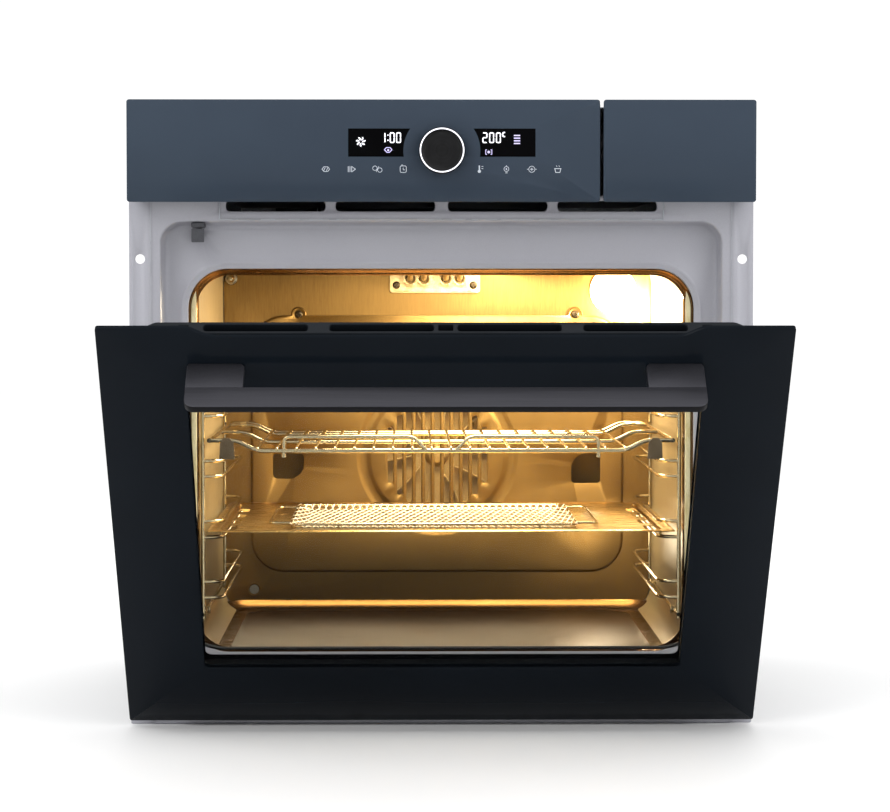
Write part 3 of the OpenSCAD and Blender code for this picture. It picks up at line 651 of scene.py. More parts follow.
# The chrome is given a darker, warm tan colour: a painted reflection of the brown cavity round the wires.
CHROME_PAINTED_REFLECTION = brushed("chrome_wire_painted_reflection", "A59678", "C2B595", (700.0, 700.0, 700.0), (0.1, 0.2), 1.0, bump=0.05,
                 anisotropic=0.0)
MESH_WIRE = brushed("mesh_wire", "F0E6CC", "FBF4E0", (900.0, 900.0, 900.0), (0.3, 0.42), 0.2)
STOP_PLATE = mottled("stop_plate", "4B3E2C", "62533C", 120.0, (0.34, 0.48), 0.5, 1100.0, 0.15)
TRAY_STEEL = brushed("tray_steel", "A1844F", "B99C64", (40.0, 1300.0, 40.0), (0.2, 0.34), 1.0,
                     bump=0.05)
PLATE_STEEL = mottled("flange_plate", "A68A5C", "C7AC7C", 160.0, (0.32, 0.5), 0.5, 800.0, 0.25)
GALVANISED = galvanised()
ZINC = mottled("zinc_plated", "8E9094", "B4B6BA", 60.0, (0.26, 0.42), 0.95, 900.0, 0.12)
DARK_SCREW = mottled("dark_screw", "2B241B", "4A3E2C", 120.0, (0.3, 0.5), 0.9, 1500.0, 0.2)
HANDLE = brushed("handle_metal", "3A3A3F", "46464C", (12.0, 900.0, 900.0), (0.34, 0.46), 0.75,
                 bump=0.07)
BRACKET = brushed("bracket_metal", "37373C", "46464C", (900.0, 12.0, 900.0), (0.36, 0.5), 0.7,
                  bump=0.07)
# The handle bar's lower layer is painted near black: painted shade on its front edge, which faces down and away
# from the light.
HANDLE_PAINTED_SHADE = mottled("handle_painted_shade_black", "08080A", "101013", 60.0, (0.3, 0.42), 0.0, 1300.0, 0.08, IOR=1.2)
TRIM = mottled("black_trim", "101317", "1A1E23", 40.0, (0.4, 0.52), 0.0, 1100.0, 0.12, IOR=1.2)
BLACK = mottled("black_plastic", "101114", "1C1E22", 50.0, (0.38, 0.55), 0.0, 1600.0, 0.2)
SWITCH = mottled("switch_plastic", "2A2B30", "45464C", 220.0, (0.45, 0.65), 0.0, 1900.0, 0.35)
KNOB_SIDE = mottled("knob_side", "060709", "0C0D10", 60.0, (0.16, 0.26), 0.4, 1400.0, 0.06)
KNOB_FACE = spun_face()
RING_LIGHT = glowing("ring_light", "F3F2FF", 1.1)
DIGIT = glowing("display_digit", "F4F3FF", 1.1)
DIGIT_SOFT = glowing("display_icon", "B9B2DA", 0.75, "B9B2DA")
ICON = glowing("touch_icon", "B9BEC6", 0.42, "A9AEB6")
RUBBER = mottled("seal_rubber", "17181A", "26282B", 60.0, (0.6, 0.8), 0.0, 1200.0, 0.3)
OXIDE = mottled("oxidised_tube", "2C2622", "4B423A", 90.0, (0.4, 0.6), 0.7, 1000.0, 0.3)
GRILL_TUBE = mottled("grill_tube", "A58E62", "C7B083", 90.0, (0.3, 0.45), 0.9, 1000.0, 0.2)
CERAMIC = mottled("lamp_ceramic", "D8D2C4", "ECE7DB", 80.0, (0.4, 0.6), 0.0, 1500.0, 0.2)
WOOL = glass_wool()
BOARD = circuit_board()
CAST = mottled("motor_cast", "3E4044", "5A5D62", 90.0, (0.4, 0.6), 0.7, 1200.0, 0.35)
ROTOR = brushed("rotor_aluminium", "9DA0A5", "BFC2C7", (30.0, 800.0, 800.0), (0.28, 0.42))
# The blades are given a light golden colour with little metal: painted light, so they read as bright as the lit
# cover in the dim pocket behind it.
FAN_BLADE_PAINTED_LIGHT = mottled("fan_blade_steel_painted_light", "A6864F", "C4A268", 50.0, (0.28, 0.42), 0.3, 1100.0, 0.12)
HOSE = mottled("silicone_hose", "C9C9C2", "E2E2DB", 60.0, (0.4, 0.55), 0.0, 900.0, 0.15,
               Subsurface_Weight=0.1)
TANK = mottled("tank_plastic", "8E979E", "A9B2B8", 40.0, (0.18, 0.3), 0.0, 1200.0, 0.08,
               Coat_Weight=0.3)
BOILER = mottled("boiler_steel", "96938B", "B7B3A9", 70.0, (0.26, 0.4), 0.95, 900.0, 0.12)
LENS = lamp_lens()


# ---- Front frame and cavity ----

def profile(value, points):
    return float(np.interp(value, [p[0] for p in points], [p[1] for p in points]))


FLANGE_D = 21.0
MOUTH = (-243, 243, 66, 435.5, 38)
RECESS_AREA = (-267.6, 267.6, 7.4, 480.2, 20)
STEP = ((274.4, 2.5), (276.0, 2.1), (278.2, 0.4), (279.6, 0.0))
RECESS = ((-1.8, 0.0), (-0.8, 0.35), (-0.1, 1.3), (0.4, 3.2), (1.8, 16.0), (2.5, 18.6), (3.6, 20.4),
          (5.2, 21.3), (7.5, 21.5))
BEAD = ((0.0, 1.2), (0.5, 0.5), (1.4, 0.0), (3.4, 0.0), (4.6, -1.0), (6.0, -1.5), (7.4, -1.0), (8.8, 0.0))


def front_frame():
    """The enamelled frame: flange, recess for the door's inner body, beaded rim round the opening."""
    mouth = rounded(*MOUTH, 12)

    def lift(x, z):
        deep = edge_distance(x, z, *RECESS_AREA)
        rim = -edge_distance(x, z, *MOUTH)
        return profile(abs(x), STEP) + profile(deep, RECESS) + (profile(rim, BEAD) if rim < 9 else 0)

    holes = [mouth]
    for side in (-1, 1):
        holes += [circle(side * 287, z, 4.65, 28) for z in (60.7, 444.7)]
        holes += [rounded(side * c - 47.5, side * c + 47.5, 490, 500, 4) for c in (53.5, 158)]
        holes.append(rounded(side * HINGE_X - 6, side * HINGE_X + 6, 9.5, 31, 1.5, 2))
    holes.append(rounded(-236, -229, 463, 472, 1, 2))
    loops = [rounded(-x, x, 0.9, 504.1, 0.3, 1) for x, _ in STEP]
    loops += nested(RECESS_AREA, [s for s, _ in RECESS], 8)
    loops += [inset(mouth, -t) for t, _ in BEAD[1:]]
    shape = Shape()
    shape.sheet(rounded(-HALF_W, HALF_W, 0, 505, 1.5, 3), holes, loops, lift=lift, base=FLANGE_D,
                thick=1.2, edge=0.35)
    shape.piece("front_frame_enamel", ENAMEL, "case", "front_frame", sharp=50)


def section(half_width, low, high, radius, depth):
    return [(u, depth, v) for u, v in rounded(-half_width, half_width, low, high, radius, 12)]


def cavity_lining():
    """The wrap: a stepped steel rim behind the frame's opening, then floor, sides and ceiling."""
    rim = [(247.5, 61.5, 440, 42.5, 46.3), (243.2, 65.8, 435.7, 38.2, 46.3),
           (242.2, 66.5, 434.9, 37.5, 46.7), (241.6, 66.9, 434.2, 37, 48), (240.9, 67.2, 433.4, 36.5, 50.4),
           (239.6, 67.9, 432.4, 35.6, 51.2), (238.7, 68.4, 431.6, 35, 52.4), (238.2, 68.7, 431.2, 34.6, 55.4),
           (237.4, 69, 430, 34, 56.2), (236.4, 69.2, 429.4, 33, 57.5), (235.4, 68.6, 430.5, 31, 60.5),
           (234.4, 66.4, 437, 27, 66)]
    body = [rim[-1], (234, 64.6, 443, 24.6, 71), (234, 64, 446, 24, 78), (234, 64, 446, 24, 429.9)]
    outer = [(235, 63, 447, 25, 429.9), (235, 63, 447, 25, 78), (236.4, 62.4, 446, 27, 66),
             (243, 60.8, 441, 40, 52), (247.5, 61.5, 440, 42.5, 47.3)]
    shape = Shape()
    shape.loft([section(*r) for r in rim], mat=1)
    shape.loft([section(*r) for r in body])
    shape.loft([section(*r) for r in body[-1:] + outer + rim[:1]])
    shape.piece("cavity_lining", [CAVITY, RIM_STEEL], "case", "cavity_wrap", sharp=40)


def rear_wall():
    """The rear wall with the fan's pocket pressed into it."""
    pocket = ((-2.0, 0.0), (0.0, 0.6), (1.5, 4.0), (3.0, 28.0), (5.0, 31.6), (8.0, 32.0))
    area = (-190, 190, 133, 373, 24)
    nozzle_ring = ((5.0, 1.4), (5.8, -0.5), (7.0, -0.9), (8.4, 0.0))

    def lift(x, z):
        deep = profile(edge_distance(x, z, *area), pocket)
        ring = profile(math.hypot(x + 201, z - 86), nozzle_ring)
        return deep + ring

    holes = [circle(0, FAN_Z, 12, 32), circle(*LAMP, 20, 48), circle(-225, 427, 4.3, 24),
             circle(-201, 86, 5, 32)]
    holes += [circle(x, FAN_Z - 92, 5, 20) for x in (-12, 12)]
    loops = nested(area, [s for s, _ in pocket])
    loops += [circle(-201, 86, r, 32) for r, _ in nozzle_ring[1:]]
    shape = Shape()
    shape.sheet(rounded(-233.1, 233.1, 64.9, 445.1, 23.1, 8), holes, loops, lift=lift, base=BACK_D,
                thick=1.0)
    shape.rod((-201, 0, 86), 6.5, BACK_D + 3, BACK_D + 8, sides=24, mat=1)
    shape.piece("cavity_rear_panel", [BACKWALL, BLACK], "case", "cavity_rear_wall", sharp=45)


def cavity_floor():
    """The floor pressing: a raised border coved up at the rear and the sides round a shallow pan."""
    border = ((0.0, 10.5), (1.0, 9.6), (3.5, 7.0), (7.0, 3.8), (10.0, 2.2), (13.0, 1.7))
    area = (-232.6, 232.6, 66.0, 429.0, 26)
    pan_area = (-206, 206, 92, 404, 30)
    # The middle under the tray takes the darker steel: painted shade cast by the tray.
    painted_shade_middle = rounded(-206, 206, 66.5, 404, 30, 8)

    def lift(x, d):
        side = edge_distance(x, d, *area)
        front = ease((d - 66) / 40)
        cove = profile(side, border)
        pan = -1.3 * ease((edge_distance(x, d, *pan_area) + 1.5) / 5.0)
        return max(1.7, 1.7 + (cove - 1.7) * front) + pan

    loops = nested(area, [s for s, _ in border[1:]], 8) + nested(pan_area, (-1.5, 0, 1, 2, 3.5), 8)
    spots = [(x, d) for x in range(-225, 226, 15) for d in (70, 78, 86, 98, 106)]
    shape = Shape()
    shape.sheet(rounded(*area, 8), loops=loops, spots=spots, lift=lift, base=64.15, thick=-0.9,
                plane="xd", regions=[(painted_shade_middle, 1)])
    shape.piece("cavity_floor_pressing", [FLOOR_STEEL, FLOOR_PAN_PAINTED_SHADE], "case", sharp=40)


COVER = (-204, 204, 105, 387, 36)


def cover_outline():
    """The fan cover's outline: a rounded rectangle with a round lug at each upper screw."""
    x0, x1, z0, z1, radius = COVER
    corners = rounded(x0, x1, z0, z1, radius, 8)
    lug = 8.5
    drop = math.degrees(math.asin((388 - z1) / lug))
    sweep = [math.radians(-drop + (180 + 2 * drop) * i / 10) for i in range(11)]
    lugs = [[(side * 151.5 + lug * math.cos(a), 388 + lug * math.sin(a)) for a in sweep] for side in (1, -1)]
    return corners[:9] + lugs[0] + lugs[1] + corners[9:]


def fan_cover():
    """The pressed cover before the fan: dished grille with upright slots, and an outlet at each side."""
    flange = ((0.0, 3.4), (0.3, 3.2), (1.2, 0.8), (2.2, 0.1), (3.2, 0.0))
    dish = ((72.0, 0.0), (74.0, 0.5), (76.5, 2.4), (78.5, 3.0), (83.0, 3.0), (85.0, 2.4), (87.5, 0.5),
            (89.5, 0.0))
    slot_half, pitch, reach = 2.95, 10.3, 60.0
    outlets = ((-180, -146, 208, 235.5), (147, 179, 203, 235.5))
    ribs = [(i - 5.5) * pitch for i in range(12)]

    def lift(x, z):
        edge = edge_distance(x, z, *COVER)
        radial = profile(math.hypot(x, z - FAN_Z), dish)
        lug = math.hypot(abs(x) - 151.5, z - 388)
        seat = profile(lug, ((0.0, 2.9), (6.2, 2.9), (7.2, 1.9), (8.5, 3.3)))
        if lug < 8.6:
            return seat
        outlet = min(abs(edge_distance(x, z, *box, 4)) for box in outlets)
        away = min(abs(x - rib) for rib in ribs)
        crest = 1.1 if away < 0.6 and math.hypot(x, z - FAN_Z) < 59 else 0.0
        return max(profile(edge, flange), 0.0) + radial + (0.7 if outlet < 0.5 else 0.0) - crest

    holes = []
    for i in range(-5, 6):
        half = math.sqrt(reach ** 2 - (i * pitch) ** 2)
        holes.append(rounded(i * pitch - slot_half, i * pitch + slot_half, FAN_Z - half, FAN_Z + half,
                             slot_half - 0.05, 4))
    holes.append(rounded(*outlets[0], (4, 4, 5, 16), 6))
    holes.append(rounded(*outlets[1], (4, 16, 4, 4), 6))
    holes += [circle(s * 151.5, 388, 3.0, 16) for s in (-1, 1)]
    loops = nested(COVER, [s for s, _ in flange[1:]], 8)
    loops += [circle(0, FAN_Z, r, 72) for r, _ in dish]
    for rib in ribs:
        half = math.sqrt(58.5 ** 2 - rib ** 2)
        loops.append(rounded(rib - 0.5, rib + 0.5, FAN_Z - half, FAN_Z + half, 0.45, 2))
    loops += [circle(s * 151.5, 388, r, 24) for s in (-1, 1) for r in (6.2, 7.2)]
    shape = Shape()
    shape.sheet(cover_outline(), holes, loops, lift=lift, base=BACK_D - 4.2, thick=0.7, edge=0.2)
    shape.piece("fan_cover_pressing", FAN_STEEL, "case", "fan_cover", sharp=50)


def cavity_screws():
    shape = Shape()
    for side in (-1, 1):
        shape.take(screw_head(4.4, 2.0), Matrix.Translation((side * 151.5, BACK_D - 1.4, 388)))
        shape.take(screw_head(4.3, 1.8), Matrix.Translation((side * 42 - 2.5, BACK_D - 3.4, 420)))
    shape.piece("cavity_screw_heads", DARK_SCREW, "case", "cavity_screws")


def grill_element():
    """The grill's flange plate and its two bent tubes along the ceiling."""
    plate_d = BACK_D - 3.2
    cup = ((3.4, 2.4), (4.4, 1.6), (5.6, -0.6), (6.8, -0.9), (8.0, 0.0))
    mid = -2.5
    ports = [mid + c for c in (-27, -12, 12, 27)]

    def lift(x, z):
        near = min(math.hypot(x - c, z - 427) for c in ports)
        rough = 0.25 * math.sin(x * 1.7) * math.sin(z * 2.3)
        return profile(near, cup) + rough * (near > 8)

    shape = Shape()
    holes = [circle(c, 427, 3.4, 20) for c in ports]
    spots = [(x, z) for x in range(-48, 49, 3) for z in range(413, 444, 3)]
    loops = [circle(c, 427, r, 28) for c in ports for r in (4.4, 5.6, 6.8)]
    shape.sheet(rounded(mid - 49.5, mid + 49.5, 411.5, 444.5, 3.5, 4), holes, loops, spots, lift, plate_d,
                2.6, edge=0.5, mat=1)
    arrow = [(mid - 4, 430), (mid, 425), (mid + 4, 430), (mid, 427.6)]
    shape.prism(arrow, "xz", plate_d - 0.9, plate_d + 1, 0.2, mat=1)
    high = 438
    for side in (-1, 1):
        near, far = mid + side * 12, mid + side * 27
        path = [(near, plate_d + 14, 427), (near, plate_d - 5, 427), (near, plate_d - 24, high),
                (near, 92, high), (side * 95, 92, high), (side * 95, 330, high), (side * 190, 330, high),
                (side * 190, 385, high), (far, 385, high), (far, plate_d - 24, high),
                (far, plate_d - 5, 427), (far, plate_d + 14, 427)]
        shape.tube(fillet(path, 14, 5), 3.2, 14)
    shape.piece("grill_heater", [GRILL_TUBE, PLATE_STEEL], "case", "grill_element")


def lamp():
    """The lamp's glass cap, a ring round it in the lens's glowing material as a painted glow, and the bulb behind
    it.
    """
    x, z = LAMP
    lens = Shape()
    lens.lathe([(0, -8), (10, -7.8), (16, -7), (20, -5.4), (22.2, -3), (22.6, -0.6), (18.6, -0.4), (18.6, 4),
                (16.4, 4), (16.4, -3), (0, -4.6)], (x, BACK_D, z), sides=56)
    lens.piece("lamp_lens_cap", LENS, "case", "lamp_glass")
    # The ring glows with the lens's light though it is no lamp: a painted glow round the lamp.
    ring = Shape()
    ring.lathe([(22.8, -0.1), (22.8, -2.2), (23.4, -3), (24.6, -2.4), (25.4, -0.1), (22.8, -0.1)],
               (x, BACK_D, z), sides=56)
    ring.piece("lamp_ring_painted_glow", LENS, "case")
    bulb = Shape()
    bulb.lathe([(0, 7), (4, 8), (6.6, 11.5), (7, 16), (5.6, 21), (4.2, 24), (4.2, 26), (0, 26)],
               (x, BACK_D, z), sides=28)
    bulb.rod((x, BACK_D, z), 5.2, 25, 34, sides=24, mat=1)
    bulb.piece("lamp_bulb_part", [LENS, CERAMIC], "case", "lamp_bulb")


def probe():
    shape = Shape()
    shape.lathe([(0, -20), (2.4, -19.2), (3.8, -17), (4.2, -14.5), (3.6, -11), (3, -6), (3, -2.6),
                 (6.4, -2.4), (7, -1.4), (7, -0.2), (3.9, -0.1), (3.9, 16), (0, 16)],
                (-225, BACK_D, 427), sides=28)
    shape.piece("cavity_probe", CHROME_PAINTED_REFLECTION, "case", "temperature_probe")


def convection_fan():
    """The fan's disc and its curved blades."""
    front = BACK_D + 2
    shape = Shape()
    middle = (0, front, FAN_Z)
    shape.lathe([(0, 18.6), (70, 18.8), (74, 17.6), (75, 18.4), (74.4, 19.8), (0, 20)], middle, sides=64)
    shape.lathe([(0, 3), (5, 3.2), (9, 5), (12, 12), (14, 18.8), (0, 18.8)], middle, sides=32)
    shape.rod(middle, 4, 19, 48, sides=20)
    for i in range(10):
        turn = Matrix.Translation((0, 0, FAN_Z)) @ Matrix.Rotation(i * math.pi / 5, 4, "Y")
        blade = Shape()
        path = [(24 + 46 * t, 6 * math.sin(t * 2.2)) for t in (0, 0.2, 0.4, 0.6, 0.8, 1.0)]
        outline = path + [(x, z + 1.1) for x, z in reversed(path)]
        blade.prism(outline, "xz", front + 1, front + 19, 0.2, 1)
        shape.take(blade, turn)
    shape.piece("convection_fan_wheel", FAN_BLADE_PAINTED_LIGHT, "convection_fan", "convection_fan")


# ---- Racks ----

RAIL_Z = (116.5, 132, 175.5, 191, 234.5, 249.5, 293, 308, 351.5, 366.5)


def side_rack(sign):
    """One side's rails: bent wires welded to two uprights, with the feet that hook into the wall."""
    shape = Shape()
    for d in (62, 398):
        shape.tube(fillet([(231, d, 96), (231, d, 376)], 4), 2.0, 12)
    for z in (100, 372):
        shape.tube([(231, 60, z), (231, 400, z)], 1.9, 12)
    for z in RAIL_Z:
        path = [(231, 62, z), (219, 64, z), (212, 76, z), (212, 384, z), (219, 396, z), (231, 398, z)]
        shape.tube(fillet(path, 9, 4), 1.75, 12)
    for d in (110, 350):
        for z in (100, 372):
            shape.rod((0, d, z), 3.2, 229, 234, axis="x", sides=20)
            shape.rod((0, d, z), 4.4, 227.4, 229.4, axis="x", sides=20)
    if sign < 0:
        shape.verts = [(-x, d, z) for x, d, z in shape.verts]
    node = "side_rack_right" if sign > 0 else "side_rack_left"
    shape.piece(node + "_wires", CHROME_PAINTED_REFLECTION, "case", node)


def wire_rack():
    """The wire rack: a bent frame, bars along the depth, guards, and two stop plates."""
    low, high = 260.0, 270.0
    front, rear = 52.0, 412.0
    shape = Shape()
    for d in (front, 212, 368, rear):
        half = [(0, d, low), (178, d, low), (198, d, high), (224, d, high)]
        path = [(-x, y, z) for x, y, z in reversed(half)] + half[1:]
        shape.tube(fillet(path, 7, 5), 2.2, 14)
    plates = Shape()
    for side in (-1, 1):
        shape.tube([(side * 224, front - 2, high), (side * 224, rear + 2, high)], 2.2, 14)
        plate = [(side * x, z) for x, z in ((214, 252), (199, 252), (200.5, 268), (204, 272.5),
                                            (210.5, 272.5), (213.5, 267))]
        plates.prism(plate[::-side], "xz", front - 3.6, front - 2.2, 0.4)
        guard = [(side * 152, front, low - 4), (side * 152, front, low + 13.5),
                 (side * 27, front, low + 13.5), (side * 14, front, low + 0.6)]
        shape.tube(fillet(guard, 6, 5), 1.7, 12)
        shape.rod((side * 152, front, 0), 2.2, low - 6.5, low - 3, axis="z", sides=14)
    for i in range(20):
        x = (i - 9.5) * 18.7
        path = [(x, front - 1.8, low - 0.5), (x, front - 1.0, low + 2.6), (x, front + 6, low + 3.0),
                (x, rear - 6, low + 3.0), (x, rear + 1.0, low + 2.6), (x, rear + 1.8, low - 0.5)]
        shape.tube(fillet(path, 1.5, 3), 1.35, 10)
    shape.piece("wire_rack_grid", CHROME_PAINTED_REFLECTION, "rack", "wire_rack")
    plates.piece("wire_rack_stops", STOP_PLATE, "rack", sharp=40)


def tray():
    """The flat tray: a rim all round, a shallow pan and a row of long holes at each side."""
    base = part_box("perforated_tray")[1].z / MM - 1.2
    rim = ((0.0, 0.4), (1.6, 1.3), (3.6, 1.6), (5.5, 1.2), (8.0, 0.2), (9.5, 0.0))
    area = (-227, 227, 50, 415, 8)

    def lift(x, d):
        groove = edge_distance(abs(x), d, 211.4, 215.2, 62, 403, 1.8)
        return profile(edge_distance(x, d, *area), rim) - (3.0 if groove > 0.5 else 0.0)

    holes = []
    for side in (-1, 1):
        for i in range(4):
            holes.append(rounded(side * 205 - 5.2, side * 205 + 5.2, 71 + i * 75.5, 121 + i * 75.5, 5.1, 6))
    loops = nested(area, [s for s, _ in rim[1:]], 5)
    for side in (-1, 1):
        loops += nested((side * 213.3 - 1.9, side * 213.3 + 1.9, 62, 403, 1.8), (0, 0.7), 3)
    shape = Shape()
    shape.sheet(rounded(*area, 5), holes, loops, lift=lift, base=base + 1.0, thick=-0.9, plane="xd")
    shape.piece("tray_pressing", TRAY_STEEL, "tray", "perforated_tray", sharp=45)


BASKET = {"x": -7.0, "half_x": 128.0, "d0": 84.0, "d1": 310.0, "rise": 4.4, "flare": 12.4}


def basket_point(u, v, low):
    """A point of the basket's net, whose flat pattern (u, v) folds up at the walls."""
    b = BASKET
    half = (b["d1"] - b["d0"]) / 2
    wall = math.hypot(b["rise"], b["flare"])
    over_u = max(0.0, abs(u) - b["half_x"]) / wall
    over_v = max(0.0, abs(v) - half) / wall
    x = b["x"] + math.copysign(min(abs(u), b["half_x"]) + over_u * b["flare"], u)
    d = (b["d0"] + b["d1"]) / 2 + math.copysign(min(abs(v), half) + over_v * b["flare"], v)
    return Vector((x, d, low + b["rise"] * max(over_u, over_v)))


def basket():
    """The mesh basket: a net of crossing wires in a wire rim, with a loop at each end."""
    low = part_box("mesh_basket")[0].z / MM + 1.0
    b = BASKET
    wall = math.hypot(b["rise"], b["flare"])
    half_u, half_v = b["half_x"] + wall, (b["d1"] - b["d0"]) / 2 + wall
    pitch, lean = 7.2, 0.155
    net = Shape()
    for side in (-1, 1):
        count = int((half_u + half_v * lean) / pitch)
        for i in range(-count, count + 1):
            marks = sorted([-half_v, half_v, -(half_v - wall), half_v - wall] + [25 * k for k in range(-4, 5)]
                           + [side * (edge - i * pitch) / lean for edge in (-half_u, -b["half_x"],
                                                                          b["half_x"], half_u)])
            path = []
            for v in marks:
                u = i * pitch + side * lean * v
                if abs(v) > half_v + 0.01 or abs(u) > half_u + 0.01:
                    continue
                p = basket_point(u, v, low + (0.4 if side > 0 else -0.4))
                if not path or (p - path[-1]).length > 1.0:
                    path.append(p)
            if len(path) > 1:
                net.tube(path, 0.55, 6)
    net.piece("basket_net", MESH_WIRE, "basket")
    rim = Shape()
    top = low + b["rise"]
    x0, x1 = b["x"] - b["half_x"] - b["flare"], b["x"] + b["half_x"] + b["flare"]
    d0, d1 = b["d0"] - b["flare"], b["d1"] + b["flare"]

    def ring(shrink, z, radius):
        return [(u, v, z) for u, v in rounded(x0 + shrink, x1 - shrink, d0 + shrink, d1 - shrink, radius, 6)]

    rim.tube(ring(0.6, top - 0.6, 14), 1.2, 12, closed=True)
    rim.tube(ring(1.6, low + 0.1, 13), 0.9, 10, closed=True)
    for x in (-100, 0, 96):
        rim.rod((x, d0 + 1.1, 0), 1.1, low, top - 0.4, axis="z", sides=12)
    for side in (-1, 1):
        inner = x1 - 1 if side > 0 else x0 + 1
        outer = inner + side * 21
        loop = [(x, d, top - 0.5) for x, d in ((inner, 88), (outer, 88), (outer, 290), (inner, 290))]
        rim.tube(fillet(loop, 6, 5), 1.3, 12)
    rim.piece("basket_rim", CHROME_PAINTED_REFLECTION, "basket", "mesh_basket")


# ---- Control fascia ----

def display_outline(side):
    """A display window whose inner side follows a circle round the knob."""
    low, high, outer, radius = 541.0, 567.6, 88.5, 36.4
    start = math.asin((low - KNOB_Z) / radius)
    end = math.asin((high - KNOB_Z) / radius)
    arc = [(radius * math.cos(start + (end - start) * i / 12),
            KNOB_Z + radius * math.sin(start + (end - start) * i / 12)) for i in range(13)]
    points = [(outer, low), (outer, high)] + arc[::-1]
    if side < 0:
        points = [(-x, z) for x, z in points][::-1]
    return points


def fascia():
    """The control glass with its two printed display windows, and the glass front of the tank drawer."""
    shape = Shape()
    windows = [(display_outline(side), 1) for side in (-1, 1)]
    hole = circle(0, KNOB_Z, 5.5, 32)
    shape.sheet(rounded(-HALF_W, 149.5, *FASCIA_Z, 2.5), [hole], base=0.0, thick=4.0, edge=0.5,
                regions=windows)
    shape.piece("control_panel_glass", [SLATE, DISPLAY], "case", "control_glass", sharp=50)
    shape = Shape()
    shape.sheet(rounded(153.0, HALF_W, *FASCIA_Z, 2.5), base=0.0, thick=4.0, edge=0.5)
    shape.piece("tank_drawer_glass", SLATE, "tank_drawer", "tank_front", sharp=50)


def mark(shape, outline, height=0.14):
    """A thin raised mark on the front of the control glass."""
    shape.prism(outline, "xz", -height, 0.02, 0)


SEGMENTS = {"0": "abcdef", "1": "bc", "2": "abged"}


def digit(shape, char, x, z, width=4.7, height=10.0, line=1.0):
    """A seven-segment figure of small six-sided bars."""
    w, h = width / 2 - line / 2, height / 2 - line / 2
    ends = {"a": ((-w, h), (w, h)), "b": ((w, h), (w, 0)), "c": ((w, 0), (w, -h)), "d": ((-w, -h), (w, -h)),
            "e": ((-w, 0), (-w, -h)), "f": ((-w, h), (-w, 0)), "g": ((-w, 0), (w, 0))}
    for key in SEGMENTS[char]:
        a, b = (Vector(p) for p in ends[key])
        along = (b - a).normalized()
        side = Vector((-along.y, along.x))
        a, b = a + along * line * 0.42, b - along * line * 0.42
        half = line / 2
        outline = [a - along * half * 0.8, a - side * half, b - side * half, b + along * half * 0.8,
                   b + side * half, a + side * half]
        mark(shape, [(x + p.x, z + p.y) for p in outline])


def stroke(shape, points, width=0.6, closed=False):
    """A line drawn on the glass as thin raised bars with round joints."""
    path = [Vector(p) for p in points] + ([Vector(points[0])] if closed else [])
    for a, b in zip(path, path[1:]):
        along = (b - a).normalized()
        side = Vector((-along.y, along.x)) * (width / 2)
        outline = [a - side - along * width * 0.25, b - side + along * width * 0.25,
                   b + side + along * width * 0.25, a + side - along * width * 0.25]
        mark(shape, [tuple(p) for p in outline], 0.12)


def display_marks():
    """The lit figures and symbols in the displays."""
    shape = Shape()
    for char, x in (("1", -55.6), ("0", -46.9), ("0", -40.9)):
        digit(shape, char, x, 559.0)
    for z in (561.4, 556.6):
        mark(shape, circle(-50.9, z, 0.62, 10))
    for char, x in (("2", 40.6), ("0", 47.0), ("0", 53.4)):
        digit(shape, char, x, 559.0)
    arc = [(58.9 + 1.6 * math.cos(math.radians(a)), 562.0 + 2.0 * math.sin(math.radians(a)))
           for a in range(70, 291, 22)]
    stroke(shape, arc, 0.9)
    for i in range(7):
        a = 2 * math.pi * i / 7
        blade = [(-76.5 + r * math.cos(a + t), 555.2 + r * math.sin(a + t))
                 for r, t in ((1.2, -0.1), (3.2, -0.12), (4.5, 0.12), (4.7, 0.3), (4.1, 0.36), (1.6, 0.3))]
        mark(shape, blade)
    shape.piece("display_figures", DIGIT, "case")
    soft = Shape()
    for z in (553.6, 556.1, 558.6, 561.1):
        mark(soft, rounded(68.0, 74.0, z - 0.55, z + 0.55, 0.3, 2))
    eye = [(-54.2, 547.6), (-52.6, 549.6), (-48.8, 549.6), (-47.2, 547.6), (-49.4, 545.2), (-52.0, 545.2)]
    stroke(soft, eye, 0.7, closed=True)
    mark(soft, circle(-50.7, 547.2, 1.0, 14))
    for x, turn in ((41.4, 1), (47.2, -1)):
        stroke(soft, [(x + turn * 1.0, 547.6), (x, 547.6), (x, 543.4), (x + turn * 1.0, 543.4)], 0.6)
    mark(soft, [(42.6, 545.5), (44.3, 547.0), (46.0, 545.5), (44.3, 544.0)])
    soft.piece("display_symbols", DIGIT_SOFT, "case")


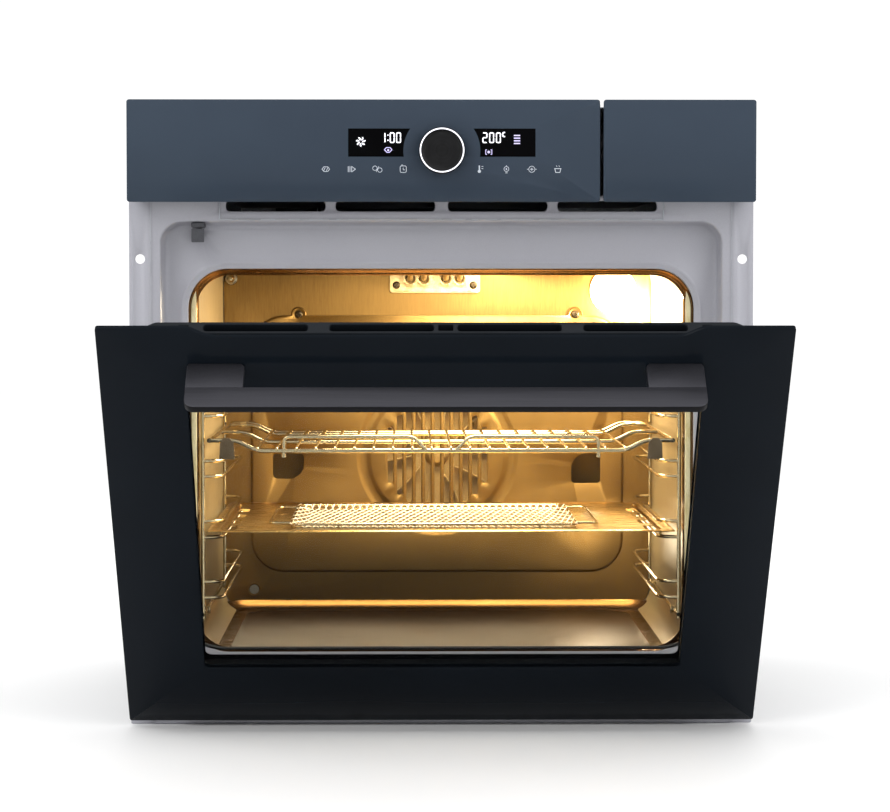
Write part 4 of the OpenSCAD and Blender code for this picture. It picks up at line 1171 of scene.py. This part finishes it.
# Each touch symbol's lines as (width, closed, points), with heights about the row's middle.
TOUCH_Z = 529.3
TOUCH_LINES = (
    (0.55, False, ((-111.6, -1.4), (-110.2, 1.4))), (0.55, False, ((-109.0, -1.4), (-107.6, 1.4))),
    (0.55, True, ((-113.2, 0), (-111.4, 2.2), (-107.8, 2.2), (-106, 0), (-107.8, -2.2), (-111.4, -2.2))),
    (0.6, False, ((-88.4, -2.6), (-88.4, 2.6))), (0.6, False, ((-86.8, -2.6), (-86.8, 2.6))),
    (0.6, True, ((-85.2, 2.6), (-81.6, 0), (-85.2, -2.6))),
    (0.5, True, circle(-63.2, 0.9, 2.1, 16)), (0.5, True, circle(-58.6, -0.8, 2.1, 16)),
    (0.5, False, ((-62, -2.4), (-59.6, 2.6))), (0.55, True, rounded(-39.4, -33.6, -3.1, 3.1, 1.4, 3)),
    (0.5, False, ((-36.5, 1.3), (-36.5, -0.6), (-35.0, -0.6))), (0.5, False, ((-38.4, 3.9), (-36.9, 3.9))),
    (1.2, False, ((35.4, 3.2), (35.4, -1.2))), (0.5, False, ((37.6, 2.6), (39.0, 2.6))),
    (0.5, False, ((37.6, 0.6), (39.0, 0.6))), (0.5, True, circle(61.0, 0.2, 2.3, 16)),
    (0.6, False, ((60.1, -3.4), (61.9, -3.4))), (0.5, False, ((61, 3.6), (61, 2.8))),
    (0.5, True, circle(85.0, 0, 2.9, 16)), (0.6, False, ((83.6, 0), (86.4, 0))),
    (0.6, False, ((85, -1.2), (85, 1.2))), (0.6, False, ((80.7, 0), (81.5, 0))),
    (0.6, False, ((88.5, 0), (89.3, 0))), (0.6, False, ((106.4, 0.6), (112.8, 0.6))),
    (0.6, False, ((106.8, 0.4), (107.6, -3.0), (111.6, -3.0), (112.4, 0.4))),
    (0.5, False, ((108.2, 3.4), (108.9, 2.4))), (0.5, False, ((110.6, 3.4), (111.3, 2.4))),
)


def touch_symbols():
    """Eight small printed symbols under the displays."""
    shape = Shape()
    for width, closed, points in TOUCH_LINES:
        stroke(shape, [(x, TOUCH_Z + z) for x, z in points], width, closed)
    for x, z, radius, count in ((35.4, -2.0, 1.5, 14), (61, 0.2, 0.8, 10)):
        mark(shape, circle(x, TOUCH_Z + z, radius, count), 0.12)
    shape.piece("touch_symbols", ICON, "case")


def knob():
    """The turn knob: a lathe-turned body with a lit ring let into its front."""
    lo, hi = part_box("knob")
    front = (lo.y - FACE_Y) / MM
    back = (hi.y - lo.y) / MM
    radius = (hi.x - lo.x) / 2 / MM
    centre = (0, front, KNOB_Z)
    body = Shape()
    body.lathe([(3.1, 5), (3.1, back), (radius - 1.2, back), (radius - 0.5, back - 0.4),
                (radius - 0.5, back - 1.2), (radius, back - 1.6), (radius, 0.9), (radius - 0.25, 0.3),
                (radius - 0.6, 0), (21, 0), (20.95, 0.3), (20.95, 1.2), (19.75, 1.2), (19.75, 0.3),
                (19.7, 0)], centre, sides=96)
    body.lathe([(19.7, 0), (18.9, 0.05), (18.4, 0.45), (12, 0.65), (0, 0.8)], centre, sides=96, mat=1)
    body.piece("turn_knob", [KNOB_SIDE, KNOB_FACE], "knob", "knob", sharp=40)
    ring = Shape()
    ring.lathe([(19.8, 1.15), (19.8, 0.2), (20, 0.05), (20.7, 0.05), (20.9, 0.2), (20.9, 1.15),
                (19.8, 1.15)], centre, sides=96)
    ring.piece("knob_light_ring", RING_LIGHT, body_of("light_ring"), "light_ring")


def door_switch():
    """The door switch at the recess's top: a clip over a sprung lever."""
    clip = Shape()
    clip.block(-238.6, -225.9, 22.6, 44.8, 474.8, 479.3, 0.8)
    clip.block(-235.4, -229.6, 38, 49.4, 464.1, 474.4, 0.5)
    for x in (-236.2, -228.6):
        clip.block(x - 0.5, x + 0.5, 22.2, 23.0, 475.4, 478.8, 0.2)
    clip.piece("door_switch_clip", SWITCH, "case", "door_switch_housing")
    lever = Shape()
    lever.block(-238.3, -226.2, 22.1, 23.9, 460.7, 473.6, 0.7)
    lever.block(-234.9, -230.1, 23.7, 29.8, 468.1, 470.9, 0.4)
    lever.block(-237.2, -227.3, 21.8 + 0.1, 22.4, 462.0, 463.2, 0.25)
    lever.piece("door_switch_tongue", SWITCH, "switch_lever", "door_switch_lever")


# ---- Door ----

def door_outline():
    """The outer glass: a rectangle with a shallow notch in its top edge."""
    top = DOOR_TOP
    corner = rounded(-HALF_W, HALF_W, DOOR_Z, top, 2.5, 5)
    notch = [(219, top, 0), (202, top - 9.6, 0), (-202, top - 9.6, 0), (-219, top, 0)]
    soft = fillet([(250, 0, top)] + [(x, 0, z) for x, z, _ in notch] + [(-250, 0, top)], 6, 5)[1:-1]
    first = corner[:6]
    return first + [(p.x, p.z) for p in soft] + corner[6:]


def door_glass():
    """The outer pane, printed round a clear window, and the two panes behind it."""
    window = rounded(-223, 223, DOOR_Z + 72.5, DOOR_Z + 400, 5, 6)
    shape = Shape()
    shape.sheet(door_outline(), base=0.0, thick=4.0, edge=0.5, regions=[(window, 1)])
    shape.piece("door_outer_pane", [NAVY, PANE], "door", "door_glass_outer door_frit", sharp=50)
    middle = Shape()
    middle.sheet(rounded(-225.6, 225.6, DOOR_Z + 47.4, DOOR_Z + 404.6, 2, 4), base=17.0, thick=3.0, edge=0.3)
    middle.piece("door_middle_pane", PANE_IN, "door", "door_glass_middle")
    inner = Shape()
    inner.sheet(rounded(-251, 251, DOOR_Z + 20, DOOR_Z + 448, 4, 4), base=40.0, thick=-4.0, edge=0.4,
                regions=[(rounded(-225, 225, DOOR_Z + 49, DOOR_Z + 404, 6, 6), 1)])
    inner.piece("door_inner_pane", [NAVY, PANE_IN], "door", "door_glass_inner")


def door_body():
    """The frame that holds the panes, with the seal round the opening."""
    frame_low, frame_high = DOOR_Z + 14.2, DOOR_Z + 447.8
    shape = Shape()
    hollow = rounded(-226.2, 226.2, DOOR_Z + 46.8, DOOR_Z + 405.2, 3, 4)
    outline = []
    for side in (1, -1):
        pocket = [(side * 233.2, frame_low), (side * 233.2, DOOR_Z + 198.5), (side * 248.8, DOOR_Z + 198.5),
                  (side * 248.8, frame_low)]
        outline += (pocket if side > 0 else pocket[::-1])
    points = [(-256, frame_low)] + outline[4:] + outline[:4] + [(256, frame_low), (256, frame_high),
                                                              (-256, frame_high)]
    shape.sheet(points, [hollow], base=4.4, thick=31.4, edge=0.4)
    for z in (DOOR_Z + 230, DOOR_Z + 300, DOOR_Z + 370):
        for side in (-1, 1):
            shape.block(side * 256 - 0.4, side * 256 + 0.4, 12, 30, z, z + 26, 0.3)
    shape.piece("door_body_frame", TRIM, "door", "door_frame")
    seal = Shape()
    ring = [(x, 41.5, z) for x, z in rounded(-244, 244, 65, 437, 38, 8)]
    seal.tube(ring, 1.45, 12, closed=True)
    lip = [(x, 42.1, z) for x, z in rounded(-246.2, 246.2, 62.8, 438.2, 40, 8)]
    seal.tube(lip, 0.8, 8, closed=True)
    for x, z in ((-245, 250), (245, 250), (0, 64), (-120, 437.5), (120, 437.5)):
        seal.rod((x, 0, z), 2.2, 39.9, 42.4, sides=16)
    seal.piece("door_seal", RUBBER, "door", "door_gasket")


def door_trim():
    """The trim on the door's top edge, with its long air slots and the bevel round each."""
    low, high = DOOR_Z + 448.0, DOOR_Z + 471.5
    outline = [(-256, 4.4), (256, 4.4), (256, 14), (248, 19.5), (-248, 19.5), (-256, 14)]
    soft = [(p.x, p.y) for p in fillet([(u, v, 0) for u, v in outline], 3, 4, closed=True)]
    holes = [rounded(-6.4, 6.4, 8, 16, 1.2, 3)]
    for side in (-1, 1):
        holes += [rounded(side * 54.5 - 44.5, side * 54.5 + 44.5, 7.2, 16.4, 3, 5),
                  rounded(side * 162 - 44.5, side * 162 + 44.5, 7.2, 16.4, 3, 5),
                  rounded(side * 223.5 - 4.5, side * 223.5 + 4.5, 8, 15, 1.2, 3)]
    shape = Shape()
    shape.sheet(soft, holes, base=high, thick=-(high - low), plane="xd", edge=0.6)
    shape.piece("door_top_rail", TRIM, "door", "door_top_trim")


def handle():
    """The flat bar and the two brackets that carry it."""
    top = DOOR_Z + 442.0
    outline = rounded(-221, 221, -57, -32, (0.6, 0.6, 9, 9), 8)
    bar = Shape()
    bar.prism(outline, "xd", top - 1.0, top, 0.35, 3)
    # The lower layer takes the near-black finish: painted shade on the bar's front edge.
    bar.prism(outline, "xd", top - 7, top - 1.0, 0.5, 2, 1)
    bar.piece("door_handle_bar", [HANDLE, HANDLE_PAINTED_SHADE], "door", "handle_bar", sharp=45)
    brackets = Shape()
    for side in (-1, 1):
        foot = [(side * 221, -32.2), (side * 172, -32.2), (side * 172, -3.5), (side * 174.5, -0.1),
                (side * 219.5, -0.1), (side * 221, -3.5)]
        brackets.prism(foot[::-side], "xd", top - 6.6, top - 0.15, 0.8, 2)
        brackets.block(*sorted((side * 176, side * 217)), -11, -0.1, top - 18, top - 6.4, 1.5, 3)
    brackets.piece("door_handle_brackets", BRACKET, "door", "handle_brackets")


# ---- Case ----

PRESS_STEPS = (0, 2, 4, 6, 8)


def side_panel(sign):
    """A folded side sheet with a pressed field, vents at the top and screw holes along its edges."""
    d0, d1 = CASE_D
    holes = [rounded(d - 3, d + 3, 520, 560, 2.9, 4) for d in range(303, 475, 24)]
    holes += [circle(d, z, 2.0, 12) for d, z in ((34, 120), (34, 400), (556, 120), (556, 480))]

    field_area, rib_area = (70, 520, 60, 470, 26), (120, 470, 130, 400, 20)

    def lift(d, z):
        field = edge_distance(d, z, *field_area)
        cross_rib = edge_distance(d, z, *rib_area)
        return -1.6 * ease(field / 8) + 1.0 * (ease(cross_rib / 6) - ease((cross_rib - 14) / 6))

    loops = nested(field_area, PRESS_STEPS) + nested(rib_area, (0, 3, 6, 14, 17, 20), least=2)
    shape = Shape()
    shape.sheet(rounded(d0, d1, 1.2, CASE_TOP, 1.5, 3), holes, loops, lift=lift, base=CASE_X,
                thick=-1.2, plane="dz", edge=0.3)
    if sign < 0:
        shape.verts = [(-x, d, z) for x, d, z in shape.verts]
    node = "side_panel_right" if sign > 0 else "side_panel_left"
    shape.piece(node + "_sheet", GALVANISED, "case", node, sharp=40)


def top_cover():
    holes = [rounded(x - 4, x + 4, 480, 530, 3.9, 4) for x in range(-150, 151, 30)]
    field_area = (-235, 235, 60, 450, 24)

    def lift(x, d):
        return -0.9 * ease(edge_distance(x, d, *field_area) / 8)

    shape = Shape()
    shape.sheet(rounded(-CASE_X, CASE_X, *CASE_D, 2, 3), holes, nested(field_area, PRESS_STEPS), lift=lift,
                base=CASE_TOP + 1.2, thick=-1.0, plane="xd", edge=0.3)
    shape.piece("top_cover_sheet", GALVANISED, "case", "top_cover", sharp=40)


def base_pan():
    holes = [rounded(x - 20, x + 20, 500, 506, 2.5, 4) for x in range(-180, 181, 60)]
    field_area = (-240, 240, 60, 480, 24)

    def lift(x, d):
        return 0.5 * ease(edge_distance(x, d, *field_area) / 6)

    shape = Shape()
    shape.sheet(rounded(-CASE_X, CASE_X, *CASE_D, 2, 3), holes, nested(field_area, PRESS_STEPS[:4]),
                lift=lift, base=0.0, thick=0.7, plane="xd", edge=0.2)
    shape.piece("base_pan_sheet", GALVANISED, "case", "base_pan", sharp=40)


def rear_panel():
    """The rear sheet: vents, a pressed field over the fan motor and the cable's cover."""
    rear = CASE_D[1]
    holes = [rounded(-70, 70, z, z + 6, 2.9, 4) for z in range(300, 441, 14)]
    holes.append(circle(-180, 540, 10.2, 32))
    holes += [circle(x, z, 2.0, 12) for x in (-262, 262) for z in (30, 290, 560)]

    field_area = (-200, 200, 90, 470, 30)

    def lift(x, z):
        field = ease(edge_distance(x, z, *field_area) / 8)
        dish = profile(math.hypot(x, z - FAN_Z + 40), ((0, 1.2), (52, 1.2), (60, 0.0)))
        return -1.4 * field + min(dish, 1.3 * field)

    loops = nested(field_area, PRESS_STEPS)
    loops += [circle(0, FAN_Z - 40, r, 40) for r in (52, 56, 60)]
    shape = Shape()
    shape.sheet(rounded(-276.8, 276.8, 1.2, CASE_TOP, 1.5, 3), holes, loops, lift=lift, base=rear,
                thick=-1.2, edge=0.3)
    shape.piece("rear_panel_sheet", GALVANISED, "case", "rear_panel", sharp=40)


def case_screws():
    """Screws round the case and the folded seams between its sheets."""
    head = screw_head(3.6, 1.1)
    shape = Shape()
    rear = CASE_D[1]
    for x in (-262, 262):
        for z in (30, 290, 560):
            shape.take(head, turned((0, 1, 0), (x, rear - 0.2, z)))
    for x in (-120, 0, 120):
        shape.take(head, turned((0, 0, 1), (x, 556, CASE_TOP + 0.2)))
        shape.take(head, turned((0, 0, 1), (x, 34, CASE_TOP + 0.2)))
    shape.piece("case_screws", ZINC, "case")
    seam = Shape()
    for side in (-1, 1):
        seam.block(*sorted((side * 264, side * 277.9)), CASE_D[0] + 0.4, rear - 0.4, CASE_TOP + 0.6,
                   CASE_TOP + 1.15, 0.25)
        seam.block(*sorted((side * 262, side * 276.6)), rear - 1.0, rear - 0.1, 4, CASE_TOP - 3, 0.3)
    seam.piece("case_seams", GALVANISED, "case")


def terminal_block():
    rear = CASE_D[1]
    shape = Shape()
    shape.block(-214.8, -145.2, rear - 19.8, rear - 1.3, 515.2, 564.8, 1.5)
    for i in range(5):
        shape.block(-210 + i * 13.4, -201 + i * 13.4, rear - 23, rear - 19, 520, 560, 0.8)
    shape.lathe([(6.5, -10), (9.9, -10), (9.9, 1), (9.4, 1.4), (9.4, 4.4), (8.6, 6.4), (7.6, 7.6), (6.9, 7.9),
                 (6.5, 7.2), (6.5, -10)], (-180, rear, 540), sides=40)
    for i in range(6):
        a = i * math.pi / 3
        cx, cz = -180 + 9.3 * math.cos(a), 540 + 9.3 * math.sin(a)
        shape.rod((cx, 0, cz), 0.7, rear + 0.6, rear + 5, sides=8, edge=0.2)
    shape.piece("terminal_housing", BLACK, "case", "terminal_block")


def insulation():
    """The glass wool round the cavity, with a soft uneven surface."""
    shape = Shape()
    rings = []
    for step in range(25):
        d = 50.5 + (BACK_D - 52) * step / 24
        ring = []
        for x, z in rounded(-257, 257, 37, 470, 29, 6):
            swell = 0.9 * math.sin(x * 0.11 + d * 0.07) * math.sin(z * 0.09 - d * 0.05)
            dx, dz = math.copysign(0.6 + swell * 0.4, x), math.copysign(0.5 + swell * 0.3, z - 250)
            ring.append((x - dx, d, z - dz))
        rings.append(ring)
    inner = [[(x, d, z) for x, z in rounded(-236.2, 236.2, 48, 448.4, 12, 6)] for d in (BACK_D - 1.2, 50.5)]
    shape.loft(rings + inner + rings[:1])
    shape.piece("insulation_wool", WOOL, "case", "insulation_blanket")


INTERNALS = (
    ("convection_motor", CAST, 0.8), ("ring_heater", OXIDE, 0.1), ("bottom_heater", OXIDE, 0.1),
    ("lamp_housing", ZINC, 0.4), ("hinge_receivers", ZINC, 0.4), ("hinge_arm_left", ZINC, 0.5),
    ("hinge_arm_right", ZINC, 0.5), ("hinge_springs", OXIDE, 0.0), ("hinge_channels", ZINC, 0.4),
    ("cooling_fan_housing", GALVANISED, 0.5), ("cooling_motor", CAST, 0.8), ("cooling_rotor", ROTOR, 0.15),
    ("air_duct", GALVANISED, 0.3), ("control_carrier", BLACK, 0.6), ("control_board", BOARD, 0.2),
    ("display_modules", BLACK, 0.3), ("knob_stem", ZINC, 0.3), ("steam_boiler", BOILER, 0.8),
    ("water_pump", BLACK, 1.0), ("water_hoses", HOSE, 0.0), ("tank_housing", BLACK, 0.6),
    ("water_tank", TANK, 0.8), ("tank_lid", TANK, 0.6),
)


def internals():
    for node, material, edge in INTERNALS:
        if edge:
            softened(node, material, edge)
        else:
            mesh = frame["nodes"][node].data
            mesh.materials.clear()
            mesh.materials.append(material)


# ---- Stage, lights and camera ----

def stage():
    look = Look("studio_floor", rough=0.7)
    cloud = look.noise(1.5, 2.0)
    floor_material = look.finish(look.mix(look.span(cloud, 0.0, 1.0), srgb("F6F6F6"), srgb("FBFBFB")))
    shape = Shape()
    shape.sheet(rounded(-9000, 9000, -9000, 9000, 100, 4), base=-0.6, thick=-20, plane="xd")
    bm = bmesh.new()
    corners = [bm.verts.new((x * MM, d * MM, z * MM)) for x, d, z in shape.verts]
    for face in shape.faces:
        bm.faces.new([corners[i] for i in face])
    mesh_object(bm, "studio_floor", floor_material)


# Each studio light's name, place, target, size and power.
STUDIO_LIGHTS = (
    ("key", (-1.6, -1.6, 2.4), (0, 0, 0.3), (1.6, 1.6), 24),
    ("fill", (1.8, -1.8, 1.6), (0, 0, 0.3), (1.6, 1.6), 14),
    ("back", (0.4, 2.4, 1.6), (0, 0.1, 0.3), (1.8, 1.2), 16),
)
WARM = (1.0, 0.86, 0.62)
WORLD_STRENGTH = 1.08


def put_light(name, kind, place, power, colour):
    data = bpy.data.lights.new(name, kind)
    data.energy = power
    data.color = colour
    light = bpy.data.objects.new(name, data)
    light.location = place
    bpy.context.scene.collection.objects.link(light)
    return light


def area_light(name, place, target, size, power, colour=(1, 1, 1)):
    light = put_light(name, "AREA", place, power, colour)
    light.data.shape = "RECTANGLE"
    light.data.size, light.data.size_y = size
    light.rotation_euler = (Vector(target) - Vector(place)).to_track_quat("-Z", "Y").to_euler()
    return light


def inside(x, d, z):
    """A place in metres from millimetres."""
    return (x * MM, FACE_Y + d * MM, z * MM)


def cavity_lights():
    """The oven's lamp, the soft light it throws back, and what passes and gets under the tray."""
    lamp_light = put_light("oven_lamp", "POINT", inside(214, 386, 392), 5.5, WARM)
    lamp_light.data.shadow_soft_size = 0.007
    glow = area_light("cavity_glow", inside(30, 240, 430), (0, FACE_Y + 0.26, 0.1), (0.34, 0.16), 6.5, WARM)
    gap = area_light("light_behind_tray", inside(0, 422, 176), inside(0, 414, 66), (0.43, 0.012), 0.8, WARM)
    low = put_light("light_below_tray", "POINT", inside(165, 345, 158), 0.3, WARM)
    low.data.shadow_soft_size = 0.03
    return lamp_light, glow, gap, low


def lights():
    world = bpy.data.worlds.new("studio")
    bpy.context.scene.world = world
    world.use_nodes = True
    background = world.node_tree.nodes["Background"]
    background.inputs["Color"].default_value = (1, 1, 1, 1)
    background.inputs["Strength"].default_value = WORLD_STRENGTH
    for light in STUDIO_LIGHTS:
        area_light(*light)
    # The lights inside the cavity reach the oven only, and not the stage's floor.
    not_lit = bpy.data.collections.new("not_lit_by_the_oven")
    not_lit.objects.link(bpy.data.objects["studio_floor"])
    not_lit.collection_objects[0].light_linking.link_state = "EXCLUDE"
    for light in cavity_lights():
        light.visible_camera = False
        light.light_linking.receiver_collection = not_lit


# The camera's place and turn, which a fit of the object's edges gave.
CAMERA_PLACE = (-0.0330, -3.0279, 0.4187)
CAMERA_DOWN, CAMERA_RIGHT = 2.3735, 0.7537
LENS_MM = 116.73


def camera():
    data = bpy.data.cameras.new("camera")
    data.sensor_width = 36.0
    data.lens = LENS_MM
    data.clip_start = 0.05
    cam = bpy.data.objects.new("camera", data)
    cam.location = CAMERA_PLACE
    cam.rotation_euler = (math.radians(90 - CAMERA_DOWN), 0, math.radians(-CAMERA_RIGHT))
    bpy.context.scene.collection.objects.link(cam)
    bpy.context.scene.camera = cam


def render_settings():
    scene = bpy.context.scene
    scene.view_settings.view_transform = "Standard"
    scene.cycles.use_denoising = True
    scene.cycles.transparent_max_bounces = 24
    scene.cycles.max_bounces = 14
    scene.cycles.caustics_reflective = False
    scene.cycles.sample_clamp_indirect = 6.0


camera()
stage()
lights()
render_settings()
front_frame()
cavity_lining()
rear_wall()
cavity_floor()
fan_cover()
cavity_screws()
grill_element()
lamp()
probe()
convection_fan()
side_rack(-1)
side_rack(1)
wire_rack()
tray()
basket()
fascia()
display_marks()
touch_symbols()
knob()
door_switch()
door_glass()
door_body()
door_trim()
handle()
side_panel(-1)
side_panel(1)
top_cover()
base_pan()
rear_panel()
case_screws()
terminal_block()
insulation()
internals()
